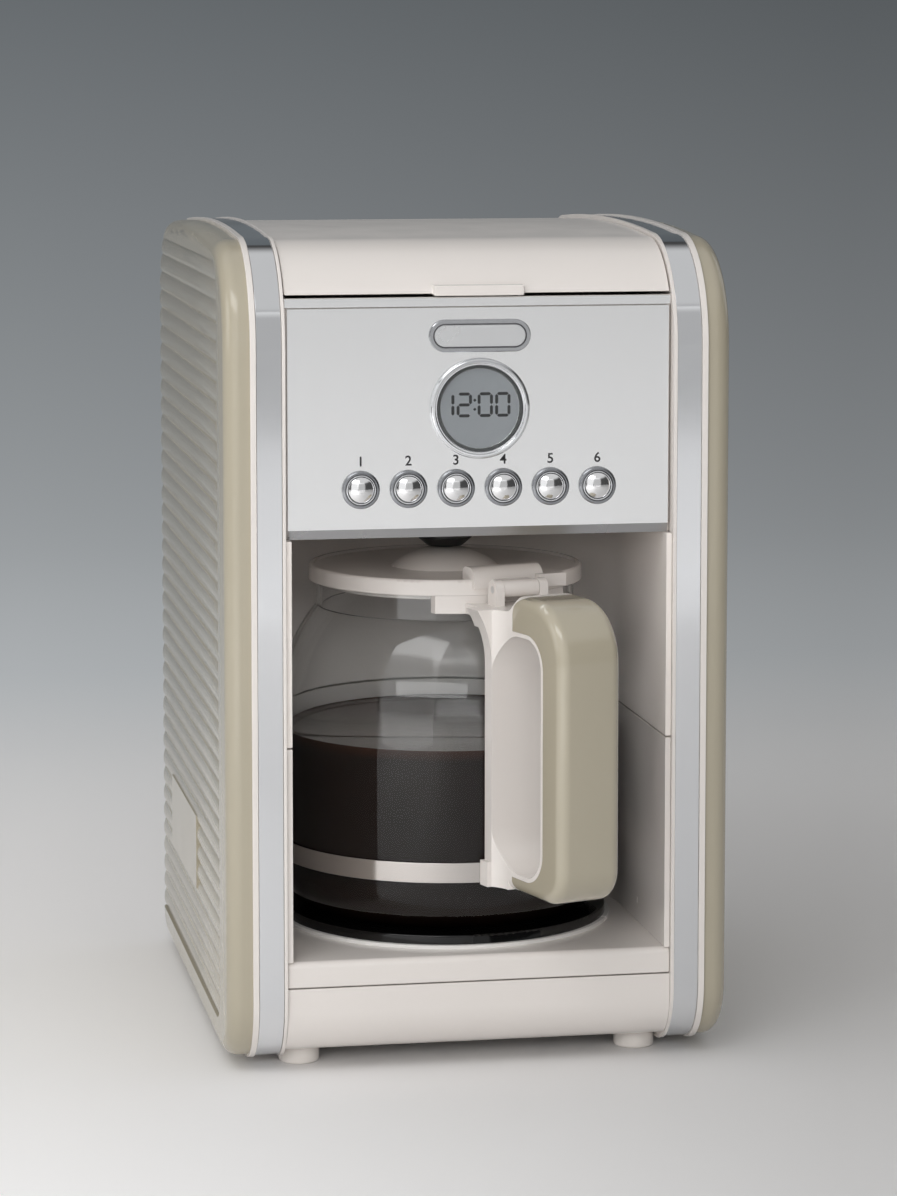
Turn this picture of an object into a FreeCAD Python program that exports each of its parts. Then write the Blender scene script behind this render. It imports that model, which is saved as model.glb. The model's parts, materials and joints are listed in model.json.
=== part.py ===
import FreeCAD, Part
import Sketcher
import math
import os
import re

# Drip coffee maker, in millimetres.
# +Z is up, the front faces -Y, and the origin is on the floor under the middle of the whole object.

V = FreeCAD.Vector
document = FreeCAD.newDocument("coffee_maker")
sheet = document.addObject("Spreadsheet::Sheet", "dims")

# Driving dimensions. Heights are above the floor and depths run back from the front of the side frames.
SIZES = {
    # whole casing
    "body_width": 222.0,
    "body_depth": 272.0,
    "body_height": 366.5,
    "wall": 2.5,
    "fit_gap": 0.1,
    "seam_gap": 0.5,
    # side frames with their chrome strips
    "panel_deep": 11.0,
    "frame_width": 15.15,
    "frame_bottom": 4.0,
    "frame_rim": 6.0,
    "crown": 3.0,
    "front_bottom_round": 30.0,
    "front_top_round": 47.0,
    "rear_top_round": 40.0,
    "rear_bottom_round": 18.0,
    "inner_bead": 1.5,
    "outer_bead": 2.6,
    "strip_thick": 1.2,
    "strip_sunk": 0.7,
    "strip_start": 34.0,
    "strip_rear": 28.0,
    # ribbed side panels
    "panel_inset": 1.2,
    "panel_round": 7.0,
    "panel_skin": 2.4,
    "panel_lip": 4.0,
    "rib_count": 38.0,
    "rib_height": 1.2,
    "rib_sunk": 0.3,
    "rib_drop": 17.5,
    "rib_start": 18.6,
    "rib_front": 29.0,
    "rib_corner": 14.0,
    "plaque_front": 120.0,
    "plaque_length": 104.0,
    "plaque_bottom": 59.0,
    "plaque_height": 34.0,
    # base and feet
    "foot_radius": 9.0,
    "foot_inset": 8.95,
    "foot_front": 33.0,
    "foot_back": 34.0,
    "base_front": 2.0,
    "base_bottom": 8.5,
    "base_round": 20.0,
    "base_seam": 39.2,
    "deck_top": 51.0,
    "deck_round": 3.0,
    # carafe bay
    "bay_lip": 0.2,
    "bay_seam": 145.0,
    "bay_seam_gap": 0.8,
    # brewing head
    "head_drop": 28.1,
    "head_floor": 3.0,
    "valve_hole": 18.0,
    "rim_front": 6.4,
    "rim_height": 4.1,
    "panel_front": 5.0,
    "panel_thick": 3.0,
    "panel_tall": 99.2,
    "panel_gap": 0.3,
    "panel_side": 1.25,
    "lip_tall": 4.2,
    "lip_deep": 2.2,
    # display and badge
    "display_rise": 55.6,
    "display_radius": 21.75,
    "lens_radius": 18.8,
    "bezel_proud": 2.4,
    "lens_sunk": 0.9,
    "lens_thick": 1.6,
    "module_side": 30.0,
    "badge_drop": 12.2,
    "badge_width": 44.4,
    "badge_tall": 14.0,
    "badge_round": 6.5,
    "badge_thick": 1.2,
    # push buttons
    "button_count": 6.0,
    "button_pitch": 20.76,
    "button_rise": 21.3,
    "button_ring": 8.2,
    "ring_proud": 1.8,
    "button_cap": 5.6,
    "cap_proud": 3.6,
    "cap_dome": 2.2,
    "cap_gap": 0.2,
    "button_stem": 2.4,
    "button_travel": 1.2,
    "switch_side": 6.0,
    "switch_thick": 4.0,
    "board_gap": 7.0,
    "board_thick": 1.6,
    "board_side": 16.75,
    "board_rise": 12.2,
    "board_drop": 20.0,
    # lid
    "lid_gap": 0.5,
    "lid_seam": 1.4,
    "lid_front": 1.0,
    "lid_below": 1.5,
    "lid_thick": 2.6,
    "hinge_clear": 14.0,
    "lid_knuckle": 9.6,
    "lid_pin": 2.5,
    "lid_pin_reach": 5.0,
    "pin_play": 0.06,
    "tab_width": 39.4,
    "tab_tall": 4.5,
    "tab_proud": 1.9,
    "spray_inset": 15.0,
    "spray_thick": 2.5,
    "spray_rise": 1.1,
    "spray_hole": 1.6,
    "spray_ring": 28.0,
    "spray_holes": 12.0,
    "spray_post": 6.0,
    # water path
    "tank_inset": 5.75,
    "riser_room": 26.75,
    "tank_round": 12.0,
    "tank_back": 9.0,
    "tank_bottom": 150.0,
    "tank_drop": 12.4,
    "tank_wall": 2.2,
    "outlet_radius": 5.0,
    "outlet_bore": 3.0,
    "outlet_length": 16.0,
    "seal_radius": 9.0,
    "seal_thick": 3.0,
    "hose_radius": 6.0,
    "hose_bore": 4.0,
    "check_radius": 8.0,
    "check_length": 24.0,
    "heater_inset": 24.2,
    "heater_length": 52.0,
    "heater_tube": 6.0,
    "heater_bore": 4.0,
    "riser_inset": 14.75,
    "hose_bend": 10.0,
    # warming plate
    "plate_inset": 1.8,
    "plate_rise": 5.6,
    "plate_thick": 9.2,
    "plate_edge": 1.0,
    "plate_gap": 0.5,
    "ring_width": 2.4,
    "ring_rise": 1.5,
    "ring_edge": 0.4,
    "clamp_width": 14.0,
    "clamp_thick": 2.0,
    "thermostat_radius": 8.5,
    "thermostat_thick": 7.0,
    # brew basket with its drip stop
    "well_inset": 17.75,
    "well_wall": 2.2,
    "well_drop": 20.4,
    "basket_gap": 3.5,
    "basket_taper": 11.0,
    "basket_rise": 11.0,
    "basket_wall": 2.0,
    "basket_rim": 3.0,
    "spout_radius": 15.5,
    "spout_wall": 1.8,
    "spout_drop": 9.0,
    "drain_radius": 1.8,
    "drain_ring": 6.2,
    "filter_gap": 3.0,
    "filter_wall": 0.8,
    "filter_lift": 12.0,
    "valve_radius": 12.8,
    "valve_tip": 8.0,
    "valve_taper": 4.0,
    "valve_head": 6.5,
    "valve_stem": 3.0,
    "valve_open": 2.0,
    "seal_disc": 9.0,
    "seal_disc_thick": 2.0,
    "spring_radius": 6.0,
    "spring_wire": 0.9,
    "spring_turns": 5.0,
    # carafe
    "carafe_set": 5.25,
    "carafe_lift": 0.3,
    "carafe_side": 7.25,
    "carafe_corner": 18.0,
    "shoulder_tall": 44.0,
    "neck_inset": 16.5,
    "neck_tall": 11.7,
    "carafe_room": 29.3,
    "glass_wall": 2.4,
    "band_bottom": 80.6,
    "band_height": 9.0,
    "band_thick": 1.2,
    # carafe lid
    "lid_overhang": 3.5,
    "carafe_lid_rim": 6.9,
    "carafe_lid_thick": 2.6,
    "carafe_lid_skirt": 2.5,
    "skirt_gap": 1.2,
    "dome_radius": 24.5,
    "dome_rise": 7.3,
    "drip_hole": 4.0,
    "valve_gap": 0.4,
    # carafe handle
    "handle_turn": 17.0,
    "handle_width": 30.0,
    "spine_gap": 1.6,
    "spine_thick": 4.0,
    "spine_width": 37.0,
    "spine_root": 70.0,
    "spine_corner": 18.0,
    "flare_run": 9.0,
    "shoulder_width": 51.0,
    "shoulder_flare": 24.0,
    "clamp_width": 41.0,
    "clamp_height": 11.0,
    "grip_room": 45.6,
    "grip_thick": 16.0,
    "grip_round": 5.0,
    "handle_bottom": 80.0,
    "handle_rise": 3.9,
    "low_corner": 15.0,
    "high_corner": 26.0,
    "low_tip": 5.5,
    "high_tip": 9.0,
    "top_dip": 7.3,
    "dip_reach": 10.0,
    "dip_radius": 9.0,
    "arm_low": 6.5,
    "arm_high": 15.2,
    "arm_reach": 18.0,
    "lining": 1.8,
    "window_corner": 13.0,
    "hinge_overhang": 8.5,
    "hinge_rise": 3.7,
    "hinge_pin": 1.6,
    "ear_radius": 4.0,
    "ear_width": 4.0,
    "knuckle_width": 17.0,
    "ear_gap": 0.3,
    "thumb_width": 34.0,
    "thumb_rise": 6.4,
    "thumb_inset": 11.8,
    "collar_sweep": 32.0,
    "collar_root_half": 20.0,
    "bar_reach": 27.0,
    "bar_proud": 3.0,
    "bar_lift": 2.5,
    "bar_rise": 1.2,
    "collar_thick": 3.5,
    "collar_height": 7.9,
    # fasteners and electrics
    "screw_radius": 2.0,
    "screw_head": 3.6,
    "screw_head_thick": 2.2,
    "screw_inset": 22.75,
    "screw_front": 60.0,
    "screw_back": 46.0,
    "window_inset": 8.0,
    "gland_radius": 8.0,
    "gland_bore": 3.6,
    "gland_height": 62.0,
    "gland_inset": 34.75,
    "gland_length": 12.0,
    "power_width": 70.0,
    "power_tall": 46.0,
    "power_height": 70.0,
}

for row, (alias, size) in enumerate(SIZES.items(), start=1):
    sheet.set(f"A{row}", alias)
    sheet.set(f"B{row}", str(size))
    sheet.setAlias(f"B{row}", alias)
document.recompute()

# Places that follow from the driving dimensions, as formulas.
PLACES = {
    "turned_reach": "(grip_outer - grip_round) * cos(handle_turn * 1deg)"
                    " + (handle_width / 2 - grip_round) * sin(handle_turn * 1deg) + grip_round",
    "front": "(turned_reach - carafe_depth - body_depth) / 2",
    "rear": "front + body_depth",
    "shoulder": "body_height - crown",
    "half": "body_width / 2",
    "frame_out": "half - panel_deep",
    "frame_in": "frame_out - frame_width",
    "strip_floor": "strip_sunk + strip_thick",
    "panel_face": "half - rib_height - rib_sunk",
    "rib_end": "rib_top + rib_pitch / 2",
    "carafe_depth": "bay_side + carafe_set",
    "carafe_y": "front + carafe_depth",
    "bay_side": "frame_in - fit_gap",
    "bay_rear": "carafe_y + bay_side + fit_gap",
    "control_face": "front + panel_front",
    "control_back": "control_face + panel_thick",
    "board_face": "control_back + board_gap",
    "lid_top": "shoulder - lid_below",
    "lid_side": "frame_in - lid_gap",
    "lid_hinge_y": "rear - rear_top_round - hinge_clear",
    "lid_hinge_z": "lid_top - lid_knuckle",
    "cover_front": "lid_hinge_y + lid_knuckle + lid_gap",
    "cover_rear": "rear - strip_sunk",
    "head_front": "control_back",
    "lens_hole": "lens_radius - lens_thick",
    "ring_bore": "button_cap + cap_gap",
    "ring_sleeve": "ring_bore + strip_thick",
    "stem_length": "panel_thick + board_gap - switch_thick - button_travel - cap_gap",
    "plate_bottom": "plate_top - plate_thick",
    "heater_z": "plate_bottom - heater_tube - fit_gap",
    "heater_end": "carafe_y + heater_length",
    "floor_low": "basket_floor - basket_wall",
    "stem_hole": "valve_stem + pin_play",
    "filter_bottom": "basket_floor + filter_lift",
    "filter_low_radius": "basket_bottom_radius - basket_wall - filter_gap",
    "filter_high_radius": "basket_radius - basket_wall - filter_gap",
    "spout_bore": "spout_radius - spout_wall",
    "skirt_radius": "neck_radius - glass_wall - skirt_gap",
    "disc_top": "lid_disc + carafe_lid_rim - carafe_lid_thick / 2",
    "disc_low": "disc_top - carafe_lid_thick",
    "dome_height": "dome_top - disc_top",
    "dome_curve": "(dome_radius * dome_radius + dome_height * dome_height) / (2 * dome_height)",
    "shoulder_drop": "carafe_radius - neck_radius",
    "shoulder_run": "neck_height - shoulder_start",
    "shoulder_curve": "(shoulder_drop * shoulder_drop + shoulder_run * shoulder_run) / (2 * shoulder_drop)",
    "cap_curve": "(button_cap * button_cap + cap_dome * cap_dome) / (2 * cap_dome)",
    "ear_start": "knuckle_width / 2 + ear_gap",
    "ear_end": "ear_start + ear_width",
    "grip_fold": "window_corner + lining",
    "plate_top": "deck_top + plate_rise",
    "carafe_floor": "plate_top + carafe_lift",
    "lid_disc": "carafe_top + fit_gap",
    "dome_top": "lid_disc + carafe_lid_rim + dome_rise",
    "valve_bottom": "dome_top + valve_gap",
    "valve_shelf": "valve_bottom + valve_head",
    "spring_height": "floor_low - valve_shelf - 2 * fit_gap",
    "stem_top": "basket_floor + valve_open + seal_disc_thick",
    "basket_top": "well_top + fit_gap + basket_rim",
    "outlet_y": "(bay_rear + wall + front + tank_rear) / 2",
    "riser_y": "(bay_rear + wall + lid_hinge_y) / 2",
    "arm_back": "spine_back + spine_thick",
    "dip_top": "handle_top - top_dip",
    "flare": "(spine_width - handle_width) / 2",
    "flare_curve": "(flare * flare + flare_run * flare_run) / (2 * flare)",
    "shoulder_wing": "(shoulder_width - spine_width) / 2",
    "wing_curve": "(shoulder_wing * shoulder_wing + shoulder_flare * shoulder_flare) / (2 * shoulder_wing)",
    "strip_end": "body_depth - strip_rear",
    "rib_pitch": "(rib_top - rib_start) / (rib_count - 0.5)",
    "rib_top": "body_height - rib_drop",
    "foot_x": "bay_side - foot_inset",
    "gland_x": "bay_side - gland_inset",
    "foot_rear": "body_depth - foot_back",
    "bay_top": "panel_bottom + bay_lip",
    "head_top": "body_height - head_drop",
    "rim_bottom": "head_top - rim_height",
    "panel_bottom": "panel_top - panel_tall",
    "panel_top": "rim_bottom - panel_gap",
    "panel_width": "2 * (bay_side - panel_side)",
    "display_height": "panel_bottom + display_rise",
    "badge_height": "panel_top - badge_drop",
    "button_height": "panel_bottom + button_rise",
    "board_width": "2 * (bay_side - board_side)",
    "board_bottom": "panel_bottom + board_rise",
    "board_top": "panel_top - board_drop",
    "lid_bottom": "head_top + lid_seam",
    "tab_bottom": "head_top + seam_gap",
    "tab_top": "tab_bottom + tab_tall",
    "spray_radius": "basket_radius - spray_inset",
    "spray_height": "head_top + spray_rise",
    "tank_left": "bay_side - tank_inset",
    "tank_right": "bay_side - riser_room",
    "tank_rear": "body_depth - tank_back",
    "tank_top": "head_top - tank_drop",
    "heater_leg": "plate_radius - heater_inset",
    "heater_bend": "heater_leg - 2 * seam_gap",
    "riser_x": "bay_side - riser_inset",
    "riser_top": "head_top + seam_gap",
    "plate_radius": "carafe_radius - plate_inset",
    "ring_outer": "plate_radius + ring_width",
    "well_radius": "bay_side - wall - well_inset",
    "well_top": "head_top - well_drop",
    "basket_radius": "well_radius - basket_gap",
    "basket_bottom_radius": "basket_radius - basket_taper",
    "basket_floor": "bay_top + basket_rise",
    "spout_bottom": "bay_top - spout_drop",
    "carafe_radius": "bay_side - wall - carafe_side",
    "shoulder_start": "neck_height - shoulder_tall",
    "neck_radius": "carafe_radius - neck_inset",
    "neck_height": "carafe_top - neck_tall",
    "carafe_top": "bay_top - carafe_room",
    "carafe_lid_radius": "neck_radius + lid_overhang",
    "spine_back": "carafe_radius + spine_gap",
    "grip_inner": "carafe_radius + grip_room",
    "grip_outer": "grip_inner + grip_thick",
    "handle_top": "carafe_top + handle_rise",
    "arm_joint": "carafe_radius + arm_reach",
    "hinge_reach": "carafe_lid_radius + hinge_overhang",
    "hinge_height": "carafe_top + hinge_rise",
    "thumb_back": "carafe_lid_radius - thumb_inset",
    "screw_x": "bay_side - screw_inset",
    "screw_rear": "body_depth - screw_back",
    "pan_opening": "screw_x - window_inset",
}

# Two places nearer than this count as one.
CLOSE = 0.01
FORMULA = re.compile(r"[a-z_]+[a-z0-9_]*")


def text_of(formula):
    """Write a formula with every named place and size spelled out for the sheet."""
    def spell(match):
        word = match.group(0)
        if word in PLACES:
            return f"({text_of(PLACES[word])})"
        return f"dims.{word}" if word in SIZES else word
    return FORMULA.sub(spell, formula)


def number(formula):
    """The value of a formula, as the sheet works it out."""
    return float(sheet.evalExpression(text_of(formula)))


def bind(thing, prop, formula):
    thing.setExpression(prop, text_of(formula))


def place(thing, x="0", y="0", z="0", turn="0"):
    """Stand a finished piece at a place, turned about the vertical."""
    thing.Placement = FreeCAD.Placement(V(0, 0, 0), FreeCAD.Rotation(V(0, 0, 1), 1))
    bind(thing, "Placement.Base.x", x)
    bind(thing, "Placement.Base.y", y)
    bind(thing, "Placement.Base.z", z)
    bind(thing, "Placement.Rotation.Angle", f"({turn}) * 1deg")
    return thing


def block(name, x, y, z):
    """A box between two corners, each a pair of formulas."""
    thing = document.addObject("Part::Box", name)
    for prop, axis, (low, high) in zip(("Length", "Width", "Height"), "xyz", (x, y, z)):
        bind(thing, prop, f"({high}) - ({low})")
        bind(thing, f"Placement.Base.{axis}", low)
    return thing


AXES = {
    "x": FreeCAD.Rotation(V(0, 1, 0), 90),
    "y": FreeCAD.Rotation(V(1, 0, 0), -90),
    "z": FreeCAD.Rotation(),
}


def rod(name, radius, along, start, end, x="0", y="0", z="0"):
    """A cylinder along one axis; the coordinate of that axis runs from start to end."""
    thing = document.addObject("Part::Cylinder", name)
    thing.Placement = FreeCAD.Placement(V(0, 0, 0), AXES[along])
    at = {"x": x, "y": y, "z": z}
    at[along] = start
    for axis, formula in at.items():
        bind(thing, f"Placement.Base.{axis}", formula)
    bind(thing, "Radius", radius)
    bind(thing, "Height", f"({end}) - ({start})")
    return thing


def union(name, *pieces):
    thing = document.addObject("Part::MultiFuse", name)
    thing.Shapes = list(pieces)
    return thing


def minus(name, base, *tools):
    thing = document.addObject("Part::Cut", name)
    thing.Base = base
    thing.Tool = tools[0] if len(tools) == 1 else union(name + "_tools", *tools)
    return thing


def group(name, *pieces):
    """Separate solids that share one node."""
    thing = document.addObject("Part::Compound", name)
    thing.Links = list(pieces)
    return thing


def corner_path(corners):
    """Turn corners (u, v, radius) with level and upright edges into line and arc segments.

    A fourth entry bows the edge that leaves a corner outwards by that much, or is its own (radius, turn).
    Each segment is (start, end, radius, turn) with turn 1 for left, -1 for right and 0 for a line.
    """
    spots = [(number(c[0]), number(c[1])) for c in corners]
    count = len(corners)
    ends = []
    for i, corner in enumerate(corners):
        u, v = corner[0], corner[1]
        radius = corner[2] if len(corner) > 2 else None
        if not radius:
            ends.append(((u, v), (u, v), None, 0))
            continue
        before, here, after = spots[i - 1], spots[i], spots[(i + 1) % count]
        step = []
        for other in (before, after):
            du, dv = other[0] - here[0], other[1] - here[1]
            if abs(du) > abs(dv):
                step.append((f"{u} {'+' if du > 0 else '-'} ({radius})", v))
            else:
                step.append((u, f"{v} {'+' if dv > 0 else '-'} ({radius})"))
        cross = ((here[0] - before[0]) * (after[1] - here[1])
                 - (here[1] - before[1]) * (after[0] - here[0]))
        ends.append((step[0], step[1], radius, 1 if cross > 0 else -1))
    segments = []
    for i, (entry, leave, radius, turn) in enumerate(ends):
        if radius:
            segments.append((entry, leave, radius, turn))
        target = ends[(i + 1) % count][0]
        bow = corners[i][3] if len(corners[i]) > 3 else None
        if isinstance(bow, tuple):
            segments.append((leave, target, bow[0], bow[1]))
        elif bow:
            chord = f"(abs({target[0]} - ({leave[0]})) + abs({target[1]} - ({leave[1]})))"
            radius = f"({chord} * {chord} / 4 + ({bow}) * ({bow})) / (2 * ({bow}))"
            segments.append((leave, target, radius, 1))
        else:
            segments.append((leave, target, None, 0))
    return segments


def arc_between(start, end, radius, turn):
    """The short arc from start to end that turns left (1) or right (-1)."""
    middle = (start + end) * 0.5
    chord = end - start
    left = V(-chord.y, chord.x, 0).normalize()
    rise = math.sqrt(max(radius * radius - chord.Length * chord.Length / 4, 0))
    centre = middle + left * (rise * turn)
    first, last = (start, end) if turn > 0 else (end, start)
    angles = [math.atan2(p.y - centre.y, p.x - centre.x) for p in (first, last)]
    return Part.ArcOfCircle(Part.Circle(centre, V(0, 0, 1), radius), angles[0], angles[1])


def sketch_on(body, plane, segments, offset):
    """Draw a closed outline on one of the body's own planes and tie every corner to the sheet."""
    sketch = body.newObject("Sketcher::SketchObject", body.Name + "_outline")
    support = [part for part in body.Origin.OriginFeatures if part.Role == plane][0]
    sketch.AttachmentSupport = (support, [""])
    sketch.MapMode = "FlatFace"
    bind(sketch, "AttachmentOffset.Base.z", offset)
    spots = [V(number(s[0][0]), number(s[0][1]), 0) for s in segments]
    count = len(segments)
    for i, (_, _, radius, turn) in enumerate(segments):
        start, end = spots[i], spots[(i + 1) % count]
        sketch.addGeometry(arc_between(start, end, number(radius), turn) if turn
                           else Part.LineSegment(start, end), False)
    heads = [(2, 1) if s[3] < 0 else (1, 2) for s in segments]
    sketch.addConstraint([Sketcher.Constraint("Coincident", i, heads[i][1], (i + 1) % count,
                                              heads[(i + 1) % count][0]) for i in range(count)])
    for i, (start, _, radius, turn) in enumerate(segments):
        for kind, formula, value in zip(("DistanceX", "DistanceY"), start, (spots[i].x, spots[i].y)):
            index = sketch.addConstraint(Sketcher.Constraint(kind, -1, 1, i, heads[i][0], value))
            sketch.setExpression(f"Constraints[{index}]", text_of(formula))
        if turn:
            index = sketch.addConstraint(Sketcher.Constraint("Radius", i, number(radius)))
            sketch.setExpression(f"Constraints[{index}]", text_of(radius))
    return sketch


def prism(name, plane, corners, start, end):
    """A padded outline: plane XY runs up Z, YZ runs along X, XZ runs along Y."""
    body = document.addObject("PartDesign::Body", name)
    offset = f"-({end})" if plane == "XZ" else start
    sketch = sketch_on(body, plane + "_Plane", corner_path(corners), offset)
    pad = body.newObject("PartDesign::Pad", name + "_pad")
    pad.Profile = sketch
    bind(pad, "Length", f"({end}) - ({start})")
    return body


def turned(name, corners, x="0", y="0"):
    """A turned piece: the outline is (radius, height) and spins about a vertical axis."""
    body = document.addObject("PartDesign::Body", name)
    sketch = sketch_on(body, "XZ_Plane", corner_path(corners), "0")
    spin = body.newObject("PartDesign::Revolution", name + "_spin")
    spin.Profile = sketch
    spin.ReferenceAxis = (sketch, ["V_Axis"])
    spin.Angle = 360
    bind(body, "Placement.Base.x", x)
    bind(body, "Placement.Base.y", y)
    return body


def faced(name, corners, x, y, z):
    """A turned piece whose axis points to the front: outline is (radius, distance forward of y)."""
    body = turned(name, corners)
    body.Placement = FreeCAD.Placement(V(0, 0, 0), FreeCAD.Rotation(V(1, 0, 0), 90))
    bind(body, "Placement.Base.x", x)
    bind(body, "Placement.Base.y", y)
    bind(body, "Placement.Base.z", z)
    return body


def mirrored(name, source):
    """The same piece on the other side of the middle plane."""
    thing = document.addObject("Part::Mirroring", name)
    thing.Source = source
    thing.Normal = V(1, 0, 0)
    return thing


def formed(name, shape):
    """A piece whose shape is made directly, for pipes and springs."""
    thing = document.addObject("Part::Feature", name)
    thing.Shape = shape
    return thing


def pipe(points, radius, bend, bore=None):
    """A round pipe along straight runs joined by tangent bends, with an optional bore."""
    edges = []
    last = points[0]
    for before, corner, after in zip(points, points[1:], points[2:]):
        back = (before - corner).normalize()
        ahead = (after - corner).normalize()
        turn = math.pi - back.getAngle(ahead)
        trim = bend * math.tan(turn / 2)
        start, end = corner + back * trim, corner + ahead * trim
        inward = (back + ahead).normalize()
        middle = corner + inward * (bend / math.cos(turn / 2) - bend)
        edges.append(Part.LineSegment(last, start).toShape())
        edges.append(Part.Arc(start, middle, end).toShape())
        last = end
    edges.append(Part.LineSegment(last, points[-1]).toShape())
    path = Part.Wire(edges)

    def swept(size):
        ring = Part.Wire([Part.Circle(points[0], points[1] - points[0], size).toShape()])
        return path.makePipeShell([ring], True, False)

    solid = swept(radius)
    return solid.cut(swept(bore)) if bore else solid


# Side frames: shallow trays in the outline of the machine, with a groove for the chrome strip


def side_outline(inset):
    """The machine's side view, drawn in by an inset."""
    return [
        (f"front + {inset}", f"frame_bottom + {inset}", f"front_bottom_round - ({inset})"),
        (f"rear - ({inset})", f"frame_bottom + {inset}", f"rear_bottom_round - ({inset})"),
        (f"rear - ({inset})", f"shoulder - ({inset})", f"rear_top_round - ({inset})", "crown"),
        (f"front + {inset}", f"shoulder - ({inset})", f"front_top_round - ({inset})"),
    ]


def strip_band(name, outer, inner, x_low, x_high):
    """A band along the front and top of the outline, open at the rear and underneath."""
    whole = prism(name + "_outer", "YZ", side_outline(outer), x_low, x_high)
    middle = prism(name + "_inner", "YZ", side_outline(inner), f"{x_low} - wall", f"{x_high} + wall")
    behind = block(name + "_behind", (f"{x_low} - wall", f"{x_high} + wall"),
                   ("front + strip_end", "rear + wall"), ("-wall", "body_height + wall"))
    under = block(name + "_under", (f"{x_low} - wall", f"{x_high} + wall"),
                  ("front + strip_start", "front + strip_end + wall"),
                  ("-wall", "frame_bottom + frame_rim"))
    return minus(name, whole, middle, behind, under)


tray = prism("tray", "YZ", side_outline("0"), "frame_in", "frame_out")
tray_hollow = prism("tray_hollow", "YZ", side_outline("frame_rim"),
                    "frame_in + wall", "frame_out + wall")
groove = strip_band("groove", "-wall", "strip_floor", "frame_in + inner_bead", "frame_out - outer_bead")
hinge_bore = rod("hinge_bore", "lid_pin + pin_play", "x", "frame_in - wall", "frame_in + 2 * wall",
                 y="lid_hinge_y", z="lid_hinge_z")
right_side_frame = minus("right_side_frame", tray, tray_hollow, groove, hinge_bore)
left_side_frame = mirrored("left_side_frame", right_side_frame)
right_chrome_strip = strip_band("right_chrome_strip", "strip_sunk", "strip_floor",
                                "frame_in + inner_bead + fit_gap", "frame_out - outer_bead - fit_gap")
left_chrome_strip = mirrored("left_chrome_strip", right_chrome_strip)

# Side panels: rounded shells with a sunk field of level ribs and one bare plaque


def rounded_edges(body, base, radius, chosen):
    """Round the edges of a body's pad that the test picks."""
    document.recompute()
    names = [f"Edge{i}" for i, edge in enumerate(base.Shape.Edges, start=1) if chosen(edge)]
    fillet = body.newObject("PartDesign::Fillet", body.Name + "_round")
    fillet.Base = (base, names)
    bind(fillet, "Radius", radius)
    return fillet


slab = prism("slab", "YZ", side_outline("panel_inset"), "frame_out", "half")
slab_face = number("half")
rounded_edges(slab, slab.Tip, "panel_round", lambda edge: edge.BoundBox.XMin > slab_face - CLOSE)
slab_hollow = prism("slab_hollow", "YZ", side_outline("panel_inset + panel_lip"),
                    "frame_out - wall", "panel_face - panel_skin")
field = prism("field", "YZ", [
    ("front + rib_front", "rib_start", "rib_corner"),
    ("rear + wall", "rib_start"),
    ("rear + wall", "rib_end"),
    ("front + rib_front", "rib_end", "rib_corner"),
], "panel_face", "half + wall")
ribs = prism("ribs", "XZ", [
    ("panel_face - wall", "rib_start"),
    ("panel_face", "rib_start", None, "rib_height"),
    ("panel_face", "rib_start + rib_pitch"),
    ("panel_face - wall", "rib_start + rib_pitch"),
], "front + rib_front - wall", "rear + 2 * wall")
first_rib = ribs.Tip
rib_row = ribs.newObject("PartDesign::LinearPattern", "rib_row")
rib_row.Originals = [first_rib]
rib_row.Direction = (first_rib.Profile[0], ["V_Axis"])
bind(rib_row, "Length", "(rib_count - 1) * rib_pitch")
bind(rib_row, "Occurrences", "rib_count")
ribs.Tip = rib_row
plaque = block("plaque", ("panel_face - wall", "half + 2 * wall"),
               ("front + plaque_front", "front + plaque_front + plaque_length"),
               ("plaque_bottom", "plaque_bottom + plaque_height"))
valleys = minus("valleys", field, ribs, plaque)
right_side_panel = minus("right_side_panel", slab, slab_hollow, valleys)
left_side_panel = mirrored("left_side_panel", right_side_panel)

# Base: a pan with an opening underneath, its plate, screws and feet, and the deck with the plate's hole
pan_shell = prism("pan_shell", "YZ", [
    ("front + base_front", "base_bottom", "base_round"),
    ("cover_rear", "base_bottom", "rear_bottom_round"),
    ("cover_rear", "base_seam"),
    ("front + base_front", "base_seam"),
], "-bay_side", "bay_side")
pan_hollow = prism("pan_hollow", "YZ", [
    ("front + base_front + wall", "base_bottom + wall", "base_round - wall"),
    ("cover_rear - wall", "base_bottom + wall", "rear_bottom_round - wall"),
    ("cover_rear - wall", "base_seam + wall"),
    ("front + base_front + wall", "base_seam + wall"),
], "wall - bay_side", "bay_side - wall")
pan_window = block("pan_window", ("-pan_opening", "pan_opening"),
                   ("front + screw_front - 2 * screw_head", "front + screw_rear + 2 * screw_head"),
                   ("0", "base_bottom + 2 * wall"))
screw_spots = [(side + "screw_x", "front + " + depth)
               for side in ("-", "") for depth in ("screw_front", "screw_rear")]
screw_holes = [rod(f"screw_hole_{i}", "screw_radius + pin_play", "z", "0", "base_seam", x=x, y=y)
               for i, (x, y) in enumerate(screw_spots)]
base_pan = minus("base_pan", pan_shell, pan_hollow, pan_window, *screw_holes)
plate_blank = block("plate_blank", ("wall + fit_gap - bay_side", "bay_side - wall - fit_gap"),
                    ("front + base_front + base_round", "cover_rear - rear_bottom_round"),
                    ("base_bottom + wall", "base_bottom + 2 * wall"))
bottom_plate = minus("bottom_plate", plate_blank, *screw_holes)
casing_screws = group("casing_screws", *[
    union(f"screw_{i}",
          rod(f"screw_shank_{i}", "screw_radius", "z",
              "base_bottom", "base_bottom + 2 * wall", x=x, y=y),
          rod(f"screw_cap_{i}", "screw_head", "z", "base_bottom + 2 * wall",
              "base_bottom + 2 * wall + screw_head_thick", x=x, y=y))
    for i, (x, y) in enumerate(screw_spots)])
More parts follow.
